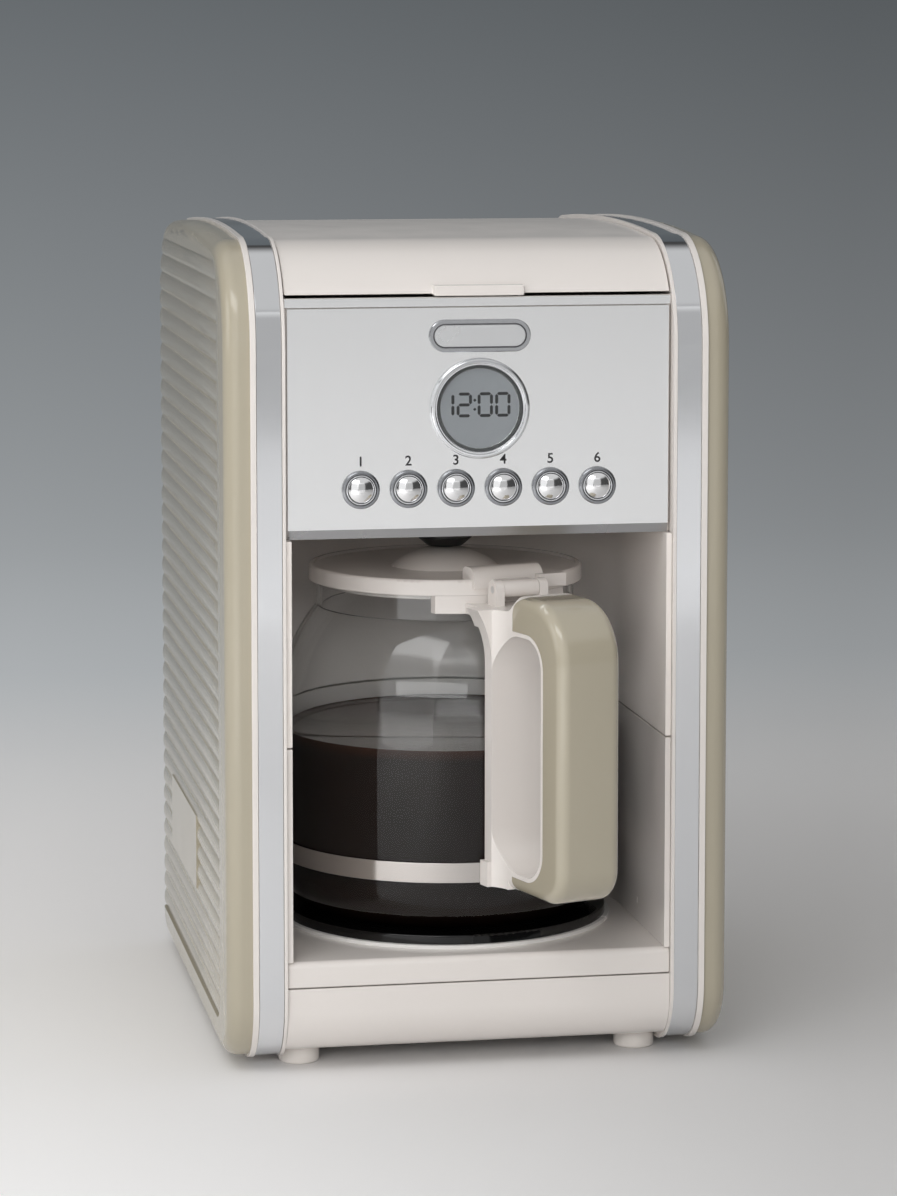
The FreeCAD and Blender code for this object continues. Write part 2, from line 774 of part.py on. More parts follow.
feet = group("feet", *[
    rod(f"foot_{side}_{depth}", "foot_radius", "z", "0", "base_bottom",
        x=sign + "foot_x", y=f"front + {depth}")
    for side, sign in (("left", "-"), ("right", "")) for depth in ("foot_front", "foot_rear")])
deck_shell = prism("deck_shell", "YZ", [
    ("front + base_front", "base_seam + seam_gap"),
    ("bay_rear + wall", "base_seam + seam_gap"),
    ("bay_rear + wall", "deck_top"),
    ("front + base_front", "deck_top", "deck_round"),
], "-bay_side", "bay_side")
deck_hollow = block("deck_hollow", ("wall - bay_side", "bay_side - wall"),
                    ("front + base_front + wall + fit_gap", "bay_rear + 2 * wall"),
                    ("0", "deck_top - wall"))
deck_hole = rod("deck_hole", "plate_radius + plate_gap", "z",
                "base_seam", "deck_top + wall", y="carafe_y")
base_deck = minus("base_deck", deck_shell, deck_hollow, deck_hole)

# Bay: a wall in two storeys, straight at the sides and half round behind the carafe


def bay_plan(name, inset, height):
    """The bay's plan, drawn in by an inset, as a solid between two heights."""
    side = f"bay_side - ({inset})"
    start = f"front + base_front - ({inset})"
    sides = block(name + "_sides", (f"-({side})", side), (start, "carafe_y"), height)
    back = rod(name + "_back", side, "z", *height, y="carafe_y")
    return union(name, sides, back)


bay_walls = []
for storey, height in (("lower", ("deck_top", "bay_seam - bay_seam_gap / 2")),
                       ("upper", ("bay_seam + bay_seam_gap / 2", "panel_bottom - fit_gap"))):
    name = f"bay_wall_{storey}"
    outer = bay_plan(name + "_outer", "0", height)
    inner = bay_plan(name + "_inner", "wall", height)
    bay_walls.append(minus(name, outer, inner))

# Head: a box open at the top, with a rim above the control panel and a window behind it
head_box = block("head_box", ("-bay_side", "bay_side"), ("head_front", "bay_rear + wall"),
                 ("bay_top", "head_top"))
head_rim = block("head_rim", ("-bay_side", "bay_side"), ("front + rim_front", "head_front + wall"),
                 ("rim_bottom", "head_top"))
head_hollow = block("head_hollow", ("wall - bay_side", "bay_side - wall"),
                    ("head_front + wall", "bay_rear"), ("bay_top + head_floor", "head_top + wall"))
head_hole = rod("head_hole", "valve_hole", "z",
                "bay_top - wall", "bay_top + 2 * head_floor", y="carafe_y")
head_window = block("head_window", ("-board_width / 2 - wall", "board_width / 2 + wall"),
                    ("head_front - wall", "head_front + 2 * wall"),
                    ("board_bottom - wall", "board_top + wall"))
head_housing = minus("head_housing", union("head_shell", head_box, head_rim),
                     head_hollow, head_hole, head_window)
basket_well = turned("basket_well", [
    ("well_radius", "bay_top + head_floor"),
    ("well_radius + well_wall", "bay_top + head_floor"),
    ("well_radius + well_wall", "well_top"),
    ("well_radius", "well_top"),
], y="carafe_y")

# Control panel with its badge, display and buttons
panel_sheet = prism("panel_sheet", "YZ", [
    ("control_face", "panel_bottom + lip_tall"),
    ("control_face + lip_deep", "panel_bottom"),
    ("control_back", "panel_bottom"),
    ("control_back", "panel_top"),
    ("control_face", "panel_top"),
], "-panel_width / 2", "panel_width / 2")
button_places = [f"({i} - (button_count - 1) / 2) * button_pitch"
                 for i in range(round(number("button_count")))]
panel_holes = [rod(f"button_hole_{i}", "ring_sleeve + fit_gap", "y",
                   "control_face - wall", "control_back + wall", x=x, z="button_height")
               for i, x in enumerate(button_places, start=1)]
display_hole = rod("display_hole", "lens_hole", "y",
                   "control_face - wall", "control_back + wall", z="display_height")
control_panel = minus("control_panel", panel_sheet, display_hole, *panel_holes)
badge_plate = prism("badge_plate", "XZ", [
    ("-badge_width / 2", "badge_height - badge_tall / 2", "badge_round"),
    ("badge_width / 2", "badge_height - badge_tall / 2", "badge_round"),
    ("badge_width / 2", "badge_height + badge_tall / 2", "badge_round"),
    ("-badge_width / 2", "badge_height + badge_tall / 2", "badge_round"),
], "control_face - badge_thick", "control_face")
display_bezel = faced("display_bezel", [
    ("lens_radius", "0"),
    ("display_radius", "0"),
    ("display_radius", "bezel_proud", "bezel_proud / 2"),
    ("lens_radius + lens_sunk", "bezel_proud"),
    ("lens_radius + lens_sunk", "bezel_proud - lens_sunk"),
    ("lens_radius", "bezel_proud - lens_sunk"),
], "0", "control_face", "display_height")
display_lens = rod("display_lens", "lens_radius - fit_gap", "y",
                   "control_face - bezel_proud + lens_sunk", "control_face", z="display_height")
module_face = rod("module_face", "lens_hole - fit_gap", "y",
                  "control_face", "control_back", z="display_height")
module_case = block("module_case", ("-module_side / 2", "module_side / 2"),
                    ("control_back", "board_face"),
                    ("display_height - module_side / 2", "display_height + module_side / 2"))
display_module = union("display_module", module_face, module_case)
button_bezels = group("button_bezels", *[
    faced(f"button_ring_{i}", [
        ("ring_bore", "-panel_thick"),
        ("ring_sleeve", "-panel_thick"),
        ("ring_sleeve", "0"),
        ("button_ring", "0"),
        ("button_ring", "ring_proud", "ring_proud / 2"),
        ("ring_bore", "ring_proud"),
    ], x, "control_face", "button_height") for i, x in enumerate(button_places, start=1)])
buttons = [
    faced(f"button_{i}", [
        ("0", "-stem_length"),
        ("button_stem", "-stem_length"),
        ("button_stem", "-panel_thick / 2"),
        ("button_cap", "-panel_thick / 2"),
        ("button_cap", "cap_proud - cap_dome", None, ("cap_curve", 1)),
        ("0", "cap_proud"),
    ], x, "control_face", "button_height") for i, x in enumerate(button_places, start=1)]
control_board = block("control_board", ("-board_width / 2", "board_width / 2"),
                      ("board_face", "board_face + board_thick"), ("board_bottom", "board_top"))
button_switches = group("button_switches", *[
    block(f"switch_{i}", (f"{x} - switch_side / 2", f"{x} + switch_side / 2"),
          ("board_face - switch_thick", "board_face"),
          ("button_height - switch_side / 2", "button_height + switch_side / 2"))
    for i, x in enumerate(button_places, start=1)])

# Rear cover with the cord gland
cover_outer = prism("cover_outer", "YZ", [
    ("cover_front", "base_seam + seam_gap"),
    ("cover_rear", "base_seam + seam_gap"),
    ("cover_rear", "lid_top", "rear_top_round - strip_sunk"),
    ("cover_front", "lid_top"),
], "-bay_side", "bay_side")
cover_inner = prism("cover_inner", "YZ", [
    ("cover_front - wall", "-wall"),
    ("cover_rear - wall", "-wall"),
    ("cover_rear - wall", "lid_top - wall", "rear_top_round - strip_sunk - wall"),
    ("cover_front - wall", "lid_top - wall"),
], "-bay_side - wall", "bay_side + wall")
gland_hole = rod("gland_hole", "gland_radius + fit_gap", "y",
                 "cover_rear - 2 * wall", "cover_rear + wall", x="gland_x", z="gland_height")
rear_cover = minus("rear_cover", cover_outer, cover_inner, gland_hole)
gland_plug = rod("gland_plug", "gland_radius", "y", "cover_rear - gland_length", "cover_rear",
                 x="gland_x", z="gland_height")
gland_flange = rod("gland_flange", "gland_radius + wall", "y",
                   "cover_rear - gland_length", "cover_rear - wall", x="gland_x", z="gland_height")
gland_way = rod("gland_way", "gland_bore", "y", "cover_rear - 2 * gland_length", "cover_rear + wall",
                x="gland_x", z="gland_height")
cord_gland = minus("cord_gland", union("gland_body", gland_plug, gland_flange), gland_way)

# Water tank, outlet and hoses
tank_shell = prism("tank_shell", "XY", [
    ("-tank_left", "bay_rear + wall", "tank_round"),
    ("tank_right", "bay_rear + wall", "tank_round"),
    ("tank_right", "front + tank_rear", "tank_round"),
    ("-tank_left", "front + tank_rear", "tank_round"),
], "tank_bottom", "tank_top")
tank_hollow = prism("tank_hollow", "XY", [
    ("tank_wall - tank_left", "bay_rear + wall + tank_wall", "tank_round - tank_wall"),
    ("tank_right - tank_wall", "bay_rear + wall + tank_wall", "tank_round - tank_wall"),
    ("tank_right - tank_wall", "front + tank_rear - tank_wall", "tank_round - tank_wall"),
    ("tank_wall - tank_left", "front + tank_rear - tank_wall", "tank_round - tank_wall"),
], "tank_bottom + tank_wall", "tank_top + wall")
outlet_nipple = rod("outlet_nipple", "outlet_radius", "z",
                    "tank_bottom - outlet_length", "tank_bottom + tank_wall", x="-heater_leg", y="outlet_y")
outlet_way = rod("outlet_way", "outlet_bore", "z",
                 "tank_bottom - 2 * outlet_length", "tank_bottom + 2 * tank_wall",
                 x="-heater_leg", y="outlet_y")
tank_cup = minus("tank_cup", tank_shell, tank_hollow)
water_tank = minus("water_tank", union("tank_body", tank_cup, outlet_nipple), outlet_way)
outlet_seal = turned("outlet_seal", [
    ("outlet_radius + fit_gap", "tank_bottom - seal_thick"),
    ("seal_radius", "tank_bottom - seal_thick"),
    ("seal_radius", "tank_bottom"),
    ("outlet_radius + fit_gap", "tank_bottom"),
], x="-heater_leg", y="outlet_y")
valve_floor = "tank_bottom - outlet_length - check_length"
check_valve = turned("check_valve", [
    ("outlet_bore", valve_floor),
    ("check_radius", valve_floor),
    ("check_radius", "tank_bottom - outlet_length"),
    ("outlet_bore", "tank_bottom - outlet_length"),
], x="-heater_leg", y="outlet_y")


def spot(x, y, z):
    return V(number(x), number(y), number(z))


inlet_hose = formed("inlet_hose", pipe([
    spot("-heater_leg", "outlet_y", valve_floor),
    spot("-heater_leg", "outlet_y", "heater_z"),
    spot("-heater_leg", "heater_end", "heater_z"),
], number("hose_radius"), number("hose_bend"), number("hose_bore")))
flow_heater = formed("flow_heater", pipe([
    spot("-heater_leg", "heater_end", "heater_z"),
    spot("-heater_leg", "carafe_y - heater_leg", "heater_z"),
    spot("heater_leg", "carafe_y - heater_leg", "heater_z"),
    spot("heater_leg", "heater_end", "heater_z"),
], number("heater_tube"), number("heater_bend"), number("heater_bore")))
riser_hose = formed("riser_hose", pipe([
    spot("heater_leg", "heater_end", "heater_z"),
    spot("heater_leg", "riser_y", "heater_z"),
    spot("riser_x", "riser_y", "heater_z"),
    spot("riser_x", "riser_y", "riser_top"),
], number("hose_radius"), number("hose_bend"), number("hose_bore")))

# Warming plate and what hangs under it
hotplate = turned("hotplate", [
    ("0", "plate_bottom"),
    ("plate_radius", "plate_bottom"),
    ("plate_radius", "plate_top", "plate_edge"),
    ("0", "plate_top"),
], y="carafe_y")
hotplate_ring = turned("hotplate_ring", [
    ("plate_radius + fit_gap", "deck_top"),
    ("ring_outer", "deck_top"),
    ("ring_outer", "deck_top + ring_rise", "ring_edge"),
    ("plate_radius + fit_gap", "deck_top + ring_rise"),
], y="carafe_y")
clamp_top = "heater_z - heater_tube - fit_gap"
heater_clamp = block("heater_clamp", ("-heater_leg - heater_tube", "heater_leg + heater_tube"),
                     ("carafe_y - clamp_width / 2", "carafe_y + clamp_width / 2"),
                     (f"{clamp_top} - clamp_thick", clamp_top))
thermostat = rod("thermostat", "thermostat_radius", "z",
                 "plate_bottom - thermostat_thick", "plate_bottom",
                 y="carafe_y + clamp_width + thermostat_radius")
power_board = block("power_board", ("-power_width / 2", "power_width / 2"),
                    ("bay_rear + wall", "bay_rear + wall + board_thick"),
                    ("power_height", "power_height + power_tall"))

# Brew basket with its filter, and the sprung drip stop under it
basket_bowl = turned("basket_bowl", [
    ("stem_hole", "floor_low"),
    ("spout_bore", "floor_low"),
    ("spout_bore", "spout_bottom"),
    ("spout_radius", "spout_bottom"),
    ("spout_radius", "floor_low"),
    ("basket_bottom_radius", "floor_low"),
    ("basket_radius", "basket_top - basket_rim"),
    ("well_radius + well_wall", "basket_top - basket_rim"),
    ("well_radius + well_wall", "basket_top"),
    ("basket_radius - basket_wall", "basket_top"),
    ("basket_bottom_radius - basket_wall", "basket_floor"),
    ("stem_hole", "basket_floor"),
], y="carafe_y")
DRAINS = 6
drains = [rod(f"drain_{i}", "drain_radius", "z", "floor_low - wall", "basket_floor + wall",
              x=f"drain_ring * cos({360 * i / DRAINS}deg)",
              y=f"carafe_y + drain_ring * sin({360 * i / DRAINS}deg)")
          for i in range(DRAINS)]
brew_basket = minus("brew_basket", basket_bowl, *drains)
mesh_filter = turned("mesh_filter", [
    ("0", "filter_bottom"),
    ("filter_low_radius", "filter_bottom"),
    ("filter_high_radius", "basket_top"),
    ("basket_radius", "basket_top"),
    ("basket_radius", "basket_top + filter_wall"),
    ("filter_high_radius - filter_wall", "basket_top + filter_wall"),
    ("filter_low_radius - filter_wall", "filter_bottom + filter_wall"),
    ("0", "filter_bottom + filter_wall"),
], y="carafe_y")
drip_valve = turned("drip_valve", [
    ("0", "valve_bottom"),
    ("valve_tip", "valve_bottom"),
    ("valve_radius", "valve_bottom + valve_taper"),
    ("valve_radius", "valve_shelf"),
    ("valve_stem", "valve_shelf"),
    ("valve_stem", "stem_top"),
    ("0", "stem_top"),
], y="carafe_y")
valve_seal = turned("valve_seal", [
    ("valve_stem + pin_play", "basket_floor + valve_open"),
    ("seal_disc", "basket_floor + valve_open"),
    ("seal_disc", "stem_top"),
    ("valve_stem + pin_play", "stem_top"),
], y="carafe_y")


def coil(radius, wire, turns, height):
    """A round wire wound upwards as a helix, standing on the floor."""
    rise = (height - 2 * wire) / turns
    helix = Part.makeHelix(rise, rise * turns, radius)
    section = Part.Wire([Part.Circle(V(radius, 0, 0), V(0, 1, 0), wire).toShape()])
    return Part.Wire(helix.Edges).makePipeShell([section], True, True)


valve_spring = formed("valve_spring", coil(number("spring_radius"), number("spring_wire"),
                                           number("spring_turns"), number("spring_height")))
place(valve_spring, y="carafe_y", z="valve_shelf + fit_gap + spring_wire")

# Lid with its finger tab and knuckle, the spray plate inside it and the hinge pins
lid_outer = prism("lid_outer", "YZ", [
    ("front + lid_front", "lid_bottom - front_top_round"),
    ("lid_hinge_y", "lid_bottom - front_top_round"),
    ("lid_hinge_y", "lid_top", None, "crown"),
    ("front + lid_front", "lid_top", "front_top_round - lid_front"),
], "-lid_side", "lid_side")
lid_inner = prism("lid_inner", "YZ", [
    ("front + lid_front + lid_thick", "lid_bottom - 2 * front_top_round"),
    ("lid_hinge_y - lid_thick", "lid_bottom - 2 * front_top_round"),
    ("lid_hinge_y - lid_thick", "lid_top - lid_thick"),
    ("front + lid_front + lid_thick", "lid_top - lid_thick", "front_top_round - lid_front - lid_thick"),
], "lid_thick - lid_side", "lid_side - lid_thick")
lid_under = block("lid_under", ("-half", "half"), ("front - wall", "rear"),
                  ("lid_bottom - 2 * front_top_round", "lid_bottom"))
lid_shell = minus("lid_shell", lid_outer, lid_inner, lid_under)
lid_barrel = rod("lid_barrel", "lid_knuckle", "x", "-lid_side", "lid_side",
                 y="lid_hinge_y", z="lid_hinge_z")
lid_tab = block("lid_tab", ("-tab_width / 2", "tab_width / 2"),
                ("front + rim_front - tab_proud / 2", "front + rim_front + front_top_round / 4"),
                ("tab_bottom", "tab_top"))
pin_start = "lid_side - lid_pin_reach"
lid_bores = [rod(f"lid_bore_{name}", "lid_pin + pin_play", "x", low, high,
                 y="lid_hinge_y", z="lid_hinge_z")
             for name, low, high in (("left", "-half", f"-({pin_start}) + fit_gap"),
                                     ("right", f"{pin_start} - fit_gap", "half"))]
lid = minus("lid", union("lid_body", lid_shell, lid_barrel, lid_tab), *lid_bores)
lid_hinge_pins = group("lid_hinge_pins", *[
    rod(f"lid_pin_{name}", "lid_pin", "x", low, high, y="lid_hinge_y", z="lid_hinge_z")
    for name, low, high in (("left", "-(frame_in + wall)", f"-({pin_start})"),
                            ("right", pin_start, "frame_in + wall"))])
spray_top = ("spray_height", "spray_height + spray_thick")
spray_disc = rod("spray_disc", "spray_radius", "z", *spray_top, y="carafe_y")
spray_reach = block("spray_reach", ("riser_x - hose_radius", "riser_x + hose_radius"),
                    ("carafe_y - hose_radius", "riser_y + hose_radius"), spray_top)
spray_arm = block("spray_arm", ("0", "riser_x + hose_radius"),
                  ("carafe_y - hose_radius", "carafe_y + hose_radius"), spray_top)
POSTS = 3
spray_posts = [rod(f"spray_post_{i}", "spray_post", "z", "spray_height", "lid_top - lid_thick",
                   x=f"(spray_radius - 2 * spray_post) * cos({360 * i / POSTS + 90}deg)",
                   y=f"carafe_y + (spray_radius - 2 * spray_post) * sin({360 * i / POSTS + 90}deg)")
               for i in range(POSTS)]
hole_count = round(number("spray_holes"))
spray_ways = [rod(f"spray_way_{i}", "spray_hole", "z",
                  "spray_height - wall", "spray_height + 2 * spray_thick",
                  x=f"spray_ring * cos({360 * (i + 0.5) / hole_count}deg)",
                  y=f"carafe_y + spray_ring * sin({360 * (i + 0.5) / hole_count}deg)")
              for i in range(hole_count)]
spray_body = union("spray_body", spray_disc, spray_reach, spray_arm, *spray_posts)
spray_plate = minus("spray_plate", spray_body, *spray_ways)

# Carafe: glass and band
carafe_glass = turned("carafe_glass", [
    ("0", "carafe_floor"),
    ("carafe_radius", "carafe_floor", "carafe_corner"),
    ("carafe_radius", "shoulder_start", None, ("shoulder_curve", 1)),
    ("neck_radius", "neck_height"),
    ("neck_radius", "carafe_top"),
    ("neck_radius - glass_wall", "carafe_top"),
    ("neck_radius - glass_wall", "neck_height", None, ("shoulder_curve", -1)),
    ("carafe_radius - glass_wall", "shoulder_start"),
    ("carafe_radius - glass_wall", "carafe_floor + glass_wall", "carafe_corner - glass_wall"),
    ("0", "carafe_floor + glass_wall"),
], y="carafe_y")
carafe_band = turned("carafe_band", [
    ("carafe_radius + fit_gap", "band_bottom"),
    ("carafe_radius + fit_gap + band_thick", "band_bottom"),
    ("carafe_radius + fit_gap + band_thick", "band_bottom + band_height"),
    ("carafe_radius + fit_gap", "band_bottom + band_height"),
], y="carafe_y")

# Carafe handle, drawn pointing to the front and then turned about the carafe's axis
window_low = "handle_bottom + arm_low"
window_high = "handle_top - arm_high"
handle_loop = prism("handle_loop", "YZ", [
    ("-grip_outer", "handle_bottom", "low_corner"),
    ("-spine_back", "handle_bottom"),
    ("-spine_back", "handle_top"),
    ("-grip_outer", "handle_top", "high_corner"),
], "-handle_width / 2", "handle_width / 2")
loop_side = number("handle_width / 2") - CLOSE
loop_back = number("-spine_back") - CLOSE


def outer_edge(edge):
    """True for the edges round the outside of the loop, on both sides."""
    box = edge.BoundBox
    return min(abs(box.XMin), abs(box.XMax)) > loop_side and box.XLength < CLOSE and box.YMin < loop_back


rounded_edges(handle_loop, handle_loop.Tip, "grip_round", outer_edge)
# A tip's rounding stops at this share of its radius, before the frame round it gets too thin.
TIP_REACH = 0.75
TIP_SKIN = 1 - math.sqrt(1 - (1 - TIP_REACH) ** 2)


def cover_zone(name, gap):
    """The room of the grip's cover with its two round tips, grown by a gap."""
    low_step = f"-arm_joint - {TIP_REACH} * low_tip + {gap}"
    high_step = f"-arm_joint - {TIP_REACH} * high_tip + {gap}"
    return prism(name, "YZ", [
        ("-grip_outer - wall", "handle_bottom - wall"),
        (low_step, "handle_bottom - wall"),
        (low_step, f"handle_bottom + {TIP_SKIN} * low_tip - {gap}", None, ("low_tip", 1)),
        (f"-arm_joint + {gap}", f"handle_bottom + low_tip - {gap}"),
        (f"-arm_joint + {gap}", f"{window_low} + {gap}"),
        (f"-grip_inner + {gap}", f"{window_low} + {gap}", f"grip_fold - {gap}"),
        (f"-grip_inner + {gap}", f"{window_high} - {gap}", f"grip_fold - {gap}"),
        (f"-arm_joint + {gap}", f"{window_high} - {gap}"),
        (f"-arm_joint + {gap}", f"handle_top - high_tip + {gap}", None, ("high_tip", 1)),
        (high_step, f"handle_top - {TIP_SKIN} * high_tip + {gap}"),
        (high_step, "handle_top + wall"),
        ("-grip_outer - wall", "handle_top + wall"),
    ], "-handle_width", "handle_width")


def common(name, first, second):
    """What two shapes share."""
    thing = document.addObject("Part::Common", name)
    thing.Base = first
    thing.Tool = second
    return thing


handle_cover = common("handle_cover", handle_loop, cover_zone("cover_outline", "0"))
place(handle_cover, y="carafe_y", turn="handle_turn")
dip_scoop = rod("dip_scoop", "dip_radius", "x", "-handle_width", "handle_width",
                y="-spine_back - dip_reach", z="dip_top + dip_radius")
dip_shelf = block("dip_shelf", ("-handle_width", "handle_width"),
                  ("-spine_back - dip_reach", "-neck_radius"), ("dip_top", "handle_top + wall"))
frame_loop = minus("frame_loop", handle_loop, cover_zone("cover_room", "fit_gap"), dip_scoop, dip_shelf)
frame_window = prism("frame_window", "YZ", [
    ("lining - grip_inner", f"{window_low} + lining", "window_corner"),
    ("-arm_back", f"{window_low} + lining", "spine_corner"),
    ("-arm_back", f"{window_high} - lining", "spine_corner"),
    ("lining - grip_inner", f"{window_high} - lining", "window_corner"),
], "-handle_width", "handle_width")
spine = prism("spine", "XY", [
    ("-spine_width / 2", "-spine_root"),
    ("-spine_width / 2", "-arm_back", None, ("flare_curve", -1)),
    ("-handle_width / 2", "-arm_back - flare_run"),
    ("handle_width / 2", "-arm_back - flare_run", None, ("flare_curve", -1)),
    ("spine_width / 2", "-arm_back"),
    ("spine_width / 2", "-spine_root"),
], "handle_bottom", "dip_top")
spine_shoulder = prism("spine_shoulder", "XZ", [
    ("-spine_width / 2", "dip_top - shoulder_flare"),
    ("spine_width / 2", "dip_top - shoulder_flare", None, ("wing_curve", -1)),
    ("shoulder_width / 2", "dip_top"),
    ("-shoulder_width / 2", "dip_top", None, ("wing_curve", -1)),
], "-arm_back", "-spine_root")
band_clamp = block("band_clamp", ("-clamp_width / 2", "clamp_width / 2"), ("-arm_back", "-spine_root"),
                   ("handle_bottom", "handle_bottom + clamp_height"))
ears = []
for side, low, high in (("left", "-ear_end", "-ear_start"), ("right", "ear_start", "ear_end")):
    ears.append(rod(f"ear_{side}", "ear_radius", "x", low, high, y="-hinge_reach", z="hinge_height"))
    ears.append(block(f"ear_post_{side}", (low, high),
                      ("-hinge_reach - ear_radius", "ear_radius - hinge_reach"),
                      ("dip_top - collar_height / 2", "hinge_height")))
collar_ring = turned("collar_ring", [
    ("neck_radius + fit_gap", "carafe_top - collar_height"),
    ("neck_radius + fit_gap + collar_thick", "carafe_top - collar_height"),
    ("neck_radius + fit_gap + collar_thick", "carafe_top"),
    ("neck_radius + fit_gap", "carafe_top"),
])
collar_part = block("collar_part", ("-collar_sweep", "collar_sweep"),
                    ("-carafe_radius", "-neck_radius / 2"),
                    ("carafe_top - 2 * collar_height", "carafe_top"))
collar = common("collar", collar_ring, collar_part)
collar_root = block("collar_root", ("-collar_root_half", "collar_root_half"),
                    ("-spine_back - lining", "collar_thick - neck_radius"),
                    ("carafe_top - collar_height", "dip_top"))
jug_room = rod("jug_room", "spine_back", "z", "handle_bottom - wall", "neck_height")
neck_room = rod("neck_room", "neck_radius + fit_gap", "z", "neck_height", "carafe_top + wall")
pin_way = rod("pin_way", "hinge_pin + pin_play", "x", "-handle_width", "handle_width",
              y="-hinge_reach", z="hinge_height")
handle_body = union("handle_body", frame_loop, spine, spine_shoulder, band_clamp, *ears, collar, collar_root)
handle_frame = minus("handle_frame", handle_body, frame_window, jug_room, neck_room, pin_way)
place(handle_frame, y="carafe_y", turn="handle_turn")

# Carafe lid: dome, rim, skirt, hinge knuckle and thumb pad
lid_disc_body = turned("lid_disc_body", [
    ("drip_hole", "dome_top - carafe_lid_thick", None, ("dome_curve", -1)),
    ("dome_radius - carafe_lid_thick", "disc_low"),
    ("skirt_radius - carafe_lid_thick", "disc_low"),
    ("skirt_radius - carafe_lid_thick", "lid_disc - carafe_lid_skirt"),
    ("skirt_radius", "lid_disc - carafe_lid_skirt"),
    ("skirt_radius", "lid_disc"),
    ("carafe_lid_radius", "lid_disc"),
    ("carafe_lid_radius", "lid_disc + carafe_lid_rim", "carafe_lid_thick / 2"),
    ("carafe_lid_radius - carafe_lid_thick", "lid_disc + carafe_lid_rim"),
    ("carafe_lid_radius - carafe_lid_thick", "disc_top"),
    ("dome_radius", "disc_top", None, ("dome_curve", 1)),
    ("drip_hole", "dome_top"),
])
knuckle = rod("knuckle", "ear_radius - ear_gap", "x", "-knuckle_width / 2", "knuckle_width / 2",
              y="-hinge_reach", z="hinge_height")
knuckle_root = block("knuckle_root", ("-knuckle_width / 2", "knuckle_width / 2"),
                     ("-hinge_reach", "carafe_lid_thick - carafe_lid_radius"),
                     ("lid_disc + ear_gap", "lid_disc + carafe_lid_rim"))
thumb_pad = prism("thumb_pad", "YZ", [
    ("-carafe_lid_radius", "disc_low"),
    ("-thumb_back", "disc_low"),
    ("-thumb_back", "disc_top + thumb_rise", "thumb_rise / 2"),
    ("-carafe_lid_radius", "disc_top + thumb_rise", "thumb_rise * 0.9"),
], "-thumb_width / 2", "thumb_width / 2")
front_bar = block("front_bar", ("ear_end + ear_gap", "bar_reach"),
                  ("-carafe_lid_radius - bar_proud", "-thumb_back"),
                  ("lid_disc + bar_lift", "lid_disc + carafe_lid_rim + bar_rise"))
carafe_lid_body = union("carafe_lid_body", lid_disc_body, knuckle, knuckle_root, thumb_pad, front_bar)
carafe_lid = minus("carafe_lid", carafe_lid_body, pin_way)
place(carafe_lid, y="carafe_y", turn="handle_turn")
carafe_lid_rod = rod("carafe_lid_rod", "hinge_pin", "x", "-ear_end", "ear_end",
                     y="-hinge_reach", z="hinge_height")
carafe_lid_pin = group("carafe_lid_pin", carafe_lid_rod)
place(carafe_lid_pin, y="carafe_y", turn="handle_turn")

# Check every piece, then write one file for each
NODES = [
    base_pan, bottom_plate, casing_screws, feet, base_deck,
    left_side_frame, right_side_frame, left_chrome_strip, right_chrome_strip,
    left_side_panel, right_side_panel,
    *bay_walls, head_housing, basket_well,
    control_panel, badge_plate, display_bezel, display_lens, display_module,
    button_bezels, *buttons, control_board, button_switches, rear_cover, cord_gland, power_board,
    water_tank, outlet_seal, check_valve, inlet_hose, flow_heater, riser_hose,
    hotplate, hotplate_ring, heater_clamp, thermostat,
    brew_basket, mesh_filter, drip_valve, valve_seal, valve_spring,
    lid, lid_hinge_pins, spray_plate,
    carafe_glass, carafe_band, handle_frame, handle_cover, carafe_lid, carafe_lid_pin,
]
document.recompute()
for thing in document.Objects:
    if {"Invalid", "Error"} & set(thing.State):
        raise RuntimeError(f"{thing.Label} failed: {thing.State}")
os.makedirs("parts", exist_ok=True)
for node in NODES:
    if node.Shape.isNull() or not node.Shape.isValid() or not node.Shape.Solids:
        raise RuntimeError(f"{node.Label} is not a sound solid")
    node.Shape.exportStep(f"parts/{node.Label}.step")
    print(f"{node.Label}: {len(node.Shape.Solids)} solid(s), {node.Shape.Volume / 1000:.1f} cm3")
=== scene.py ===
import json
import math

import bmesh
import bpy
from mathutils import Euler, Matrix, Vector

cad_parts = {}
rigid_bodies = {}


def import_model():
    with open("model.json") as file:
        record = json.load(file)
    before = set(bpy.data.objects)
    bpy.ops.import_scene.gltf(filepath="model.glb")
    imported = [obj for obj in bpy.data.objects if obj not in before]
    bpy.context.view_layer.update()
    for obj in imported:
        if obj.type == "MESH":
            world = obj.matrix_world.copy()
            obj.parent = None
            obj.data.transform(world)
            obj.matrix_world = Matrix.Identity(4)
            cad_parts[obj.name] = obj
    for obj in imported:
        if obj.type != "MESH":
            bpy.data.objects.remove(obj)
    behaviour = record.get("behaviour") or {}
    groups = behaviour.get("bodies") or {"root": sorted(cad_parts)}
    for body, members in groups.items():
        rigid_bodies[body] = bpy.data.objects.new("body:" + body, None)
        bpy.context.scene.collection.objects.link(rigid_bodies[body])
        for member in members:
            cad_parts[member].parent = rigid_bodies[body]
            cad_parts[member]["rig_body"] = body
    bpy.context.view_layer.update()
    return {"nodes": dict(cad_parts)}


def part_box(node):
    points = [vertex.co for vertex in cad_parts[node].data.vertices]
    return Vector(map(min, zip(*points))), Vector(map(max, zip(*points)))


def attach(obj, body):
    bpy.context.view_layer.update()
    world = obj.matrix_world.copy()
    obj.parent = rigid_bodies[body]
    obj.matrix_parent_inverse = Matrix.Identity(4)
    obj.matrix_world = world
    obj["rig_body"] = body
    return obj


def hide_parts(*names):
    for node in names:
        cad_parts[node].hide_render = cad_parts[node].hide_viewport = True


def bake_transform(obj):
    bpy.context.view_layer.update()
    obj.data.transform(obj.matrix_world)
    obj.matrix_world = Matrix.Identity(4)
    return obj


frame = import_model()
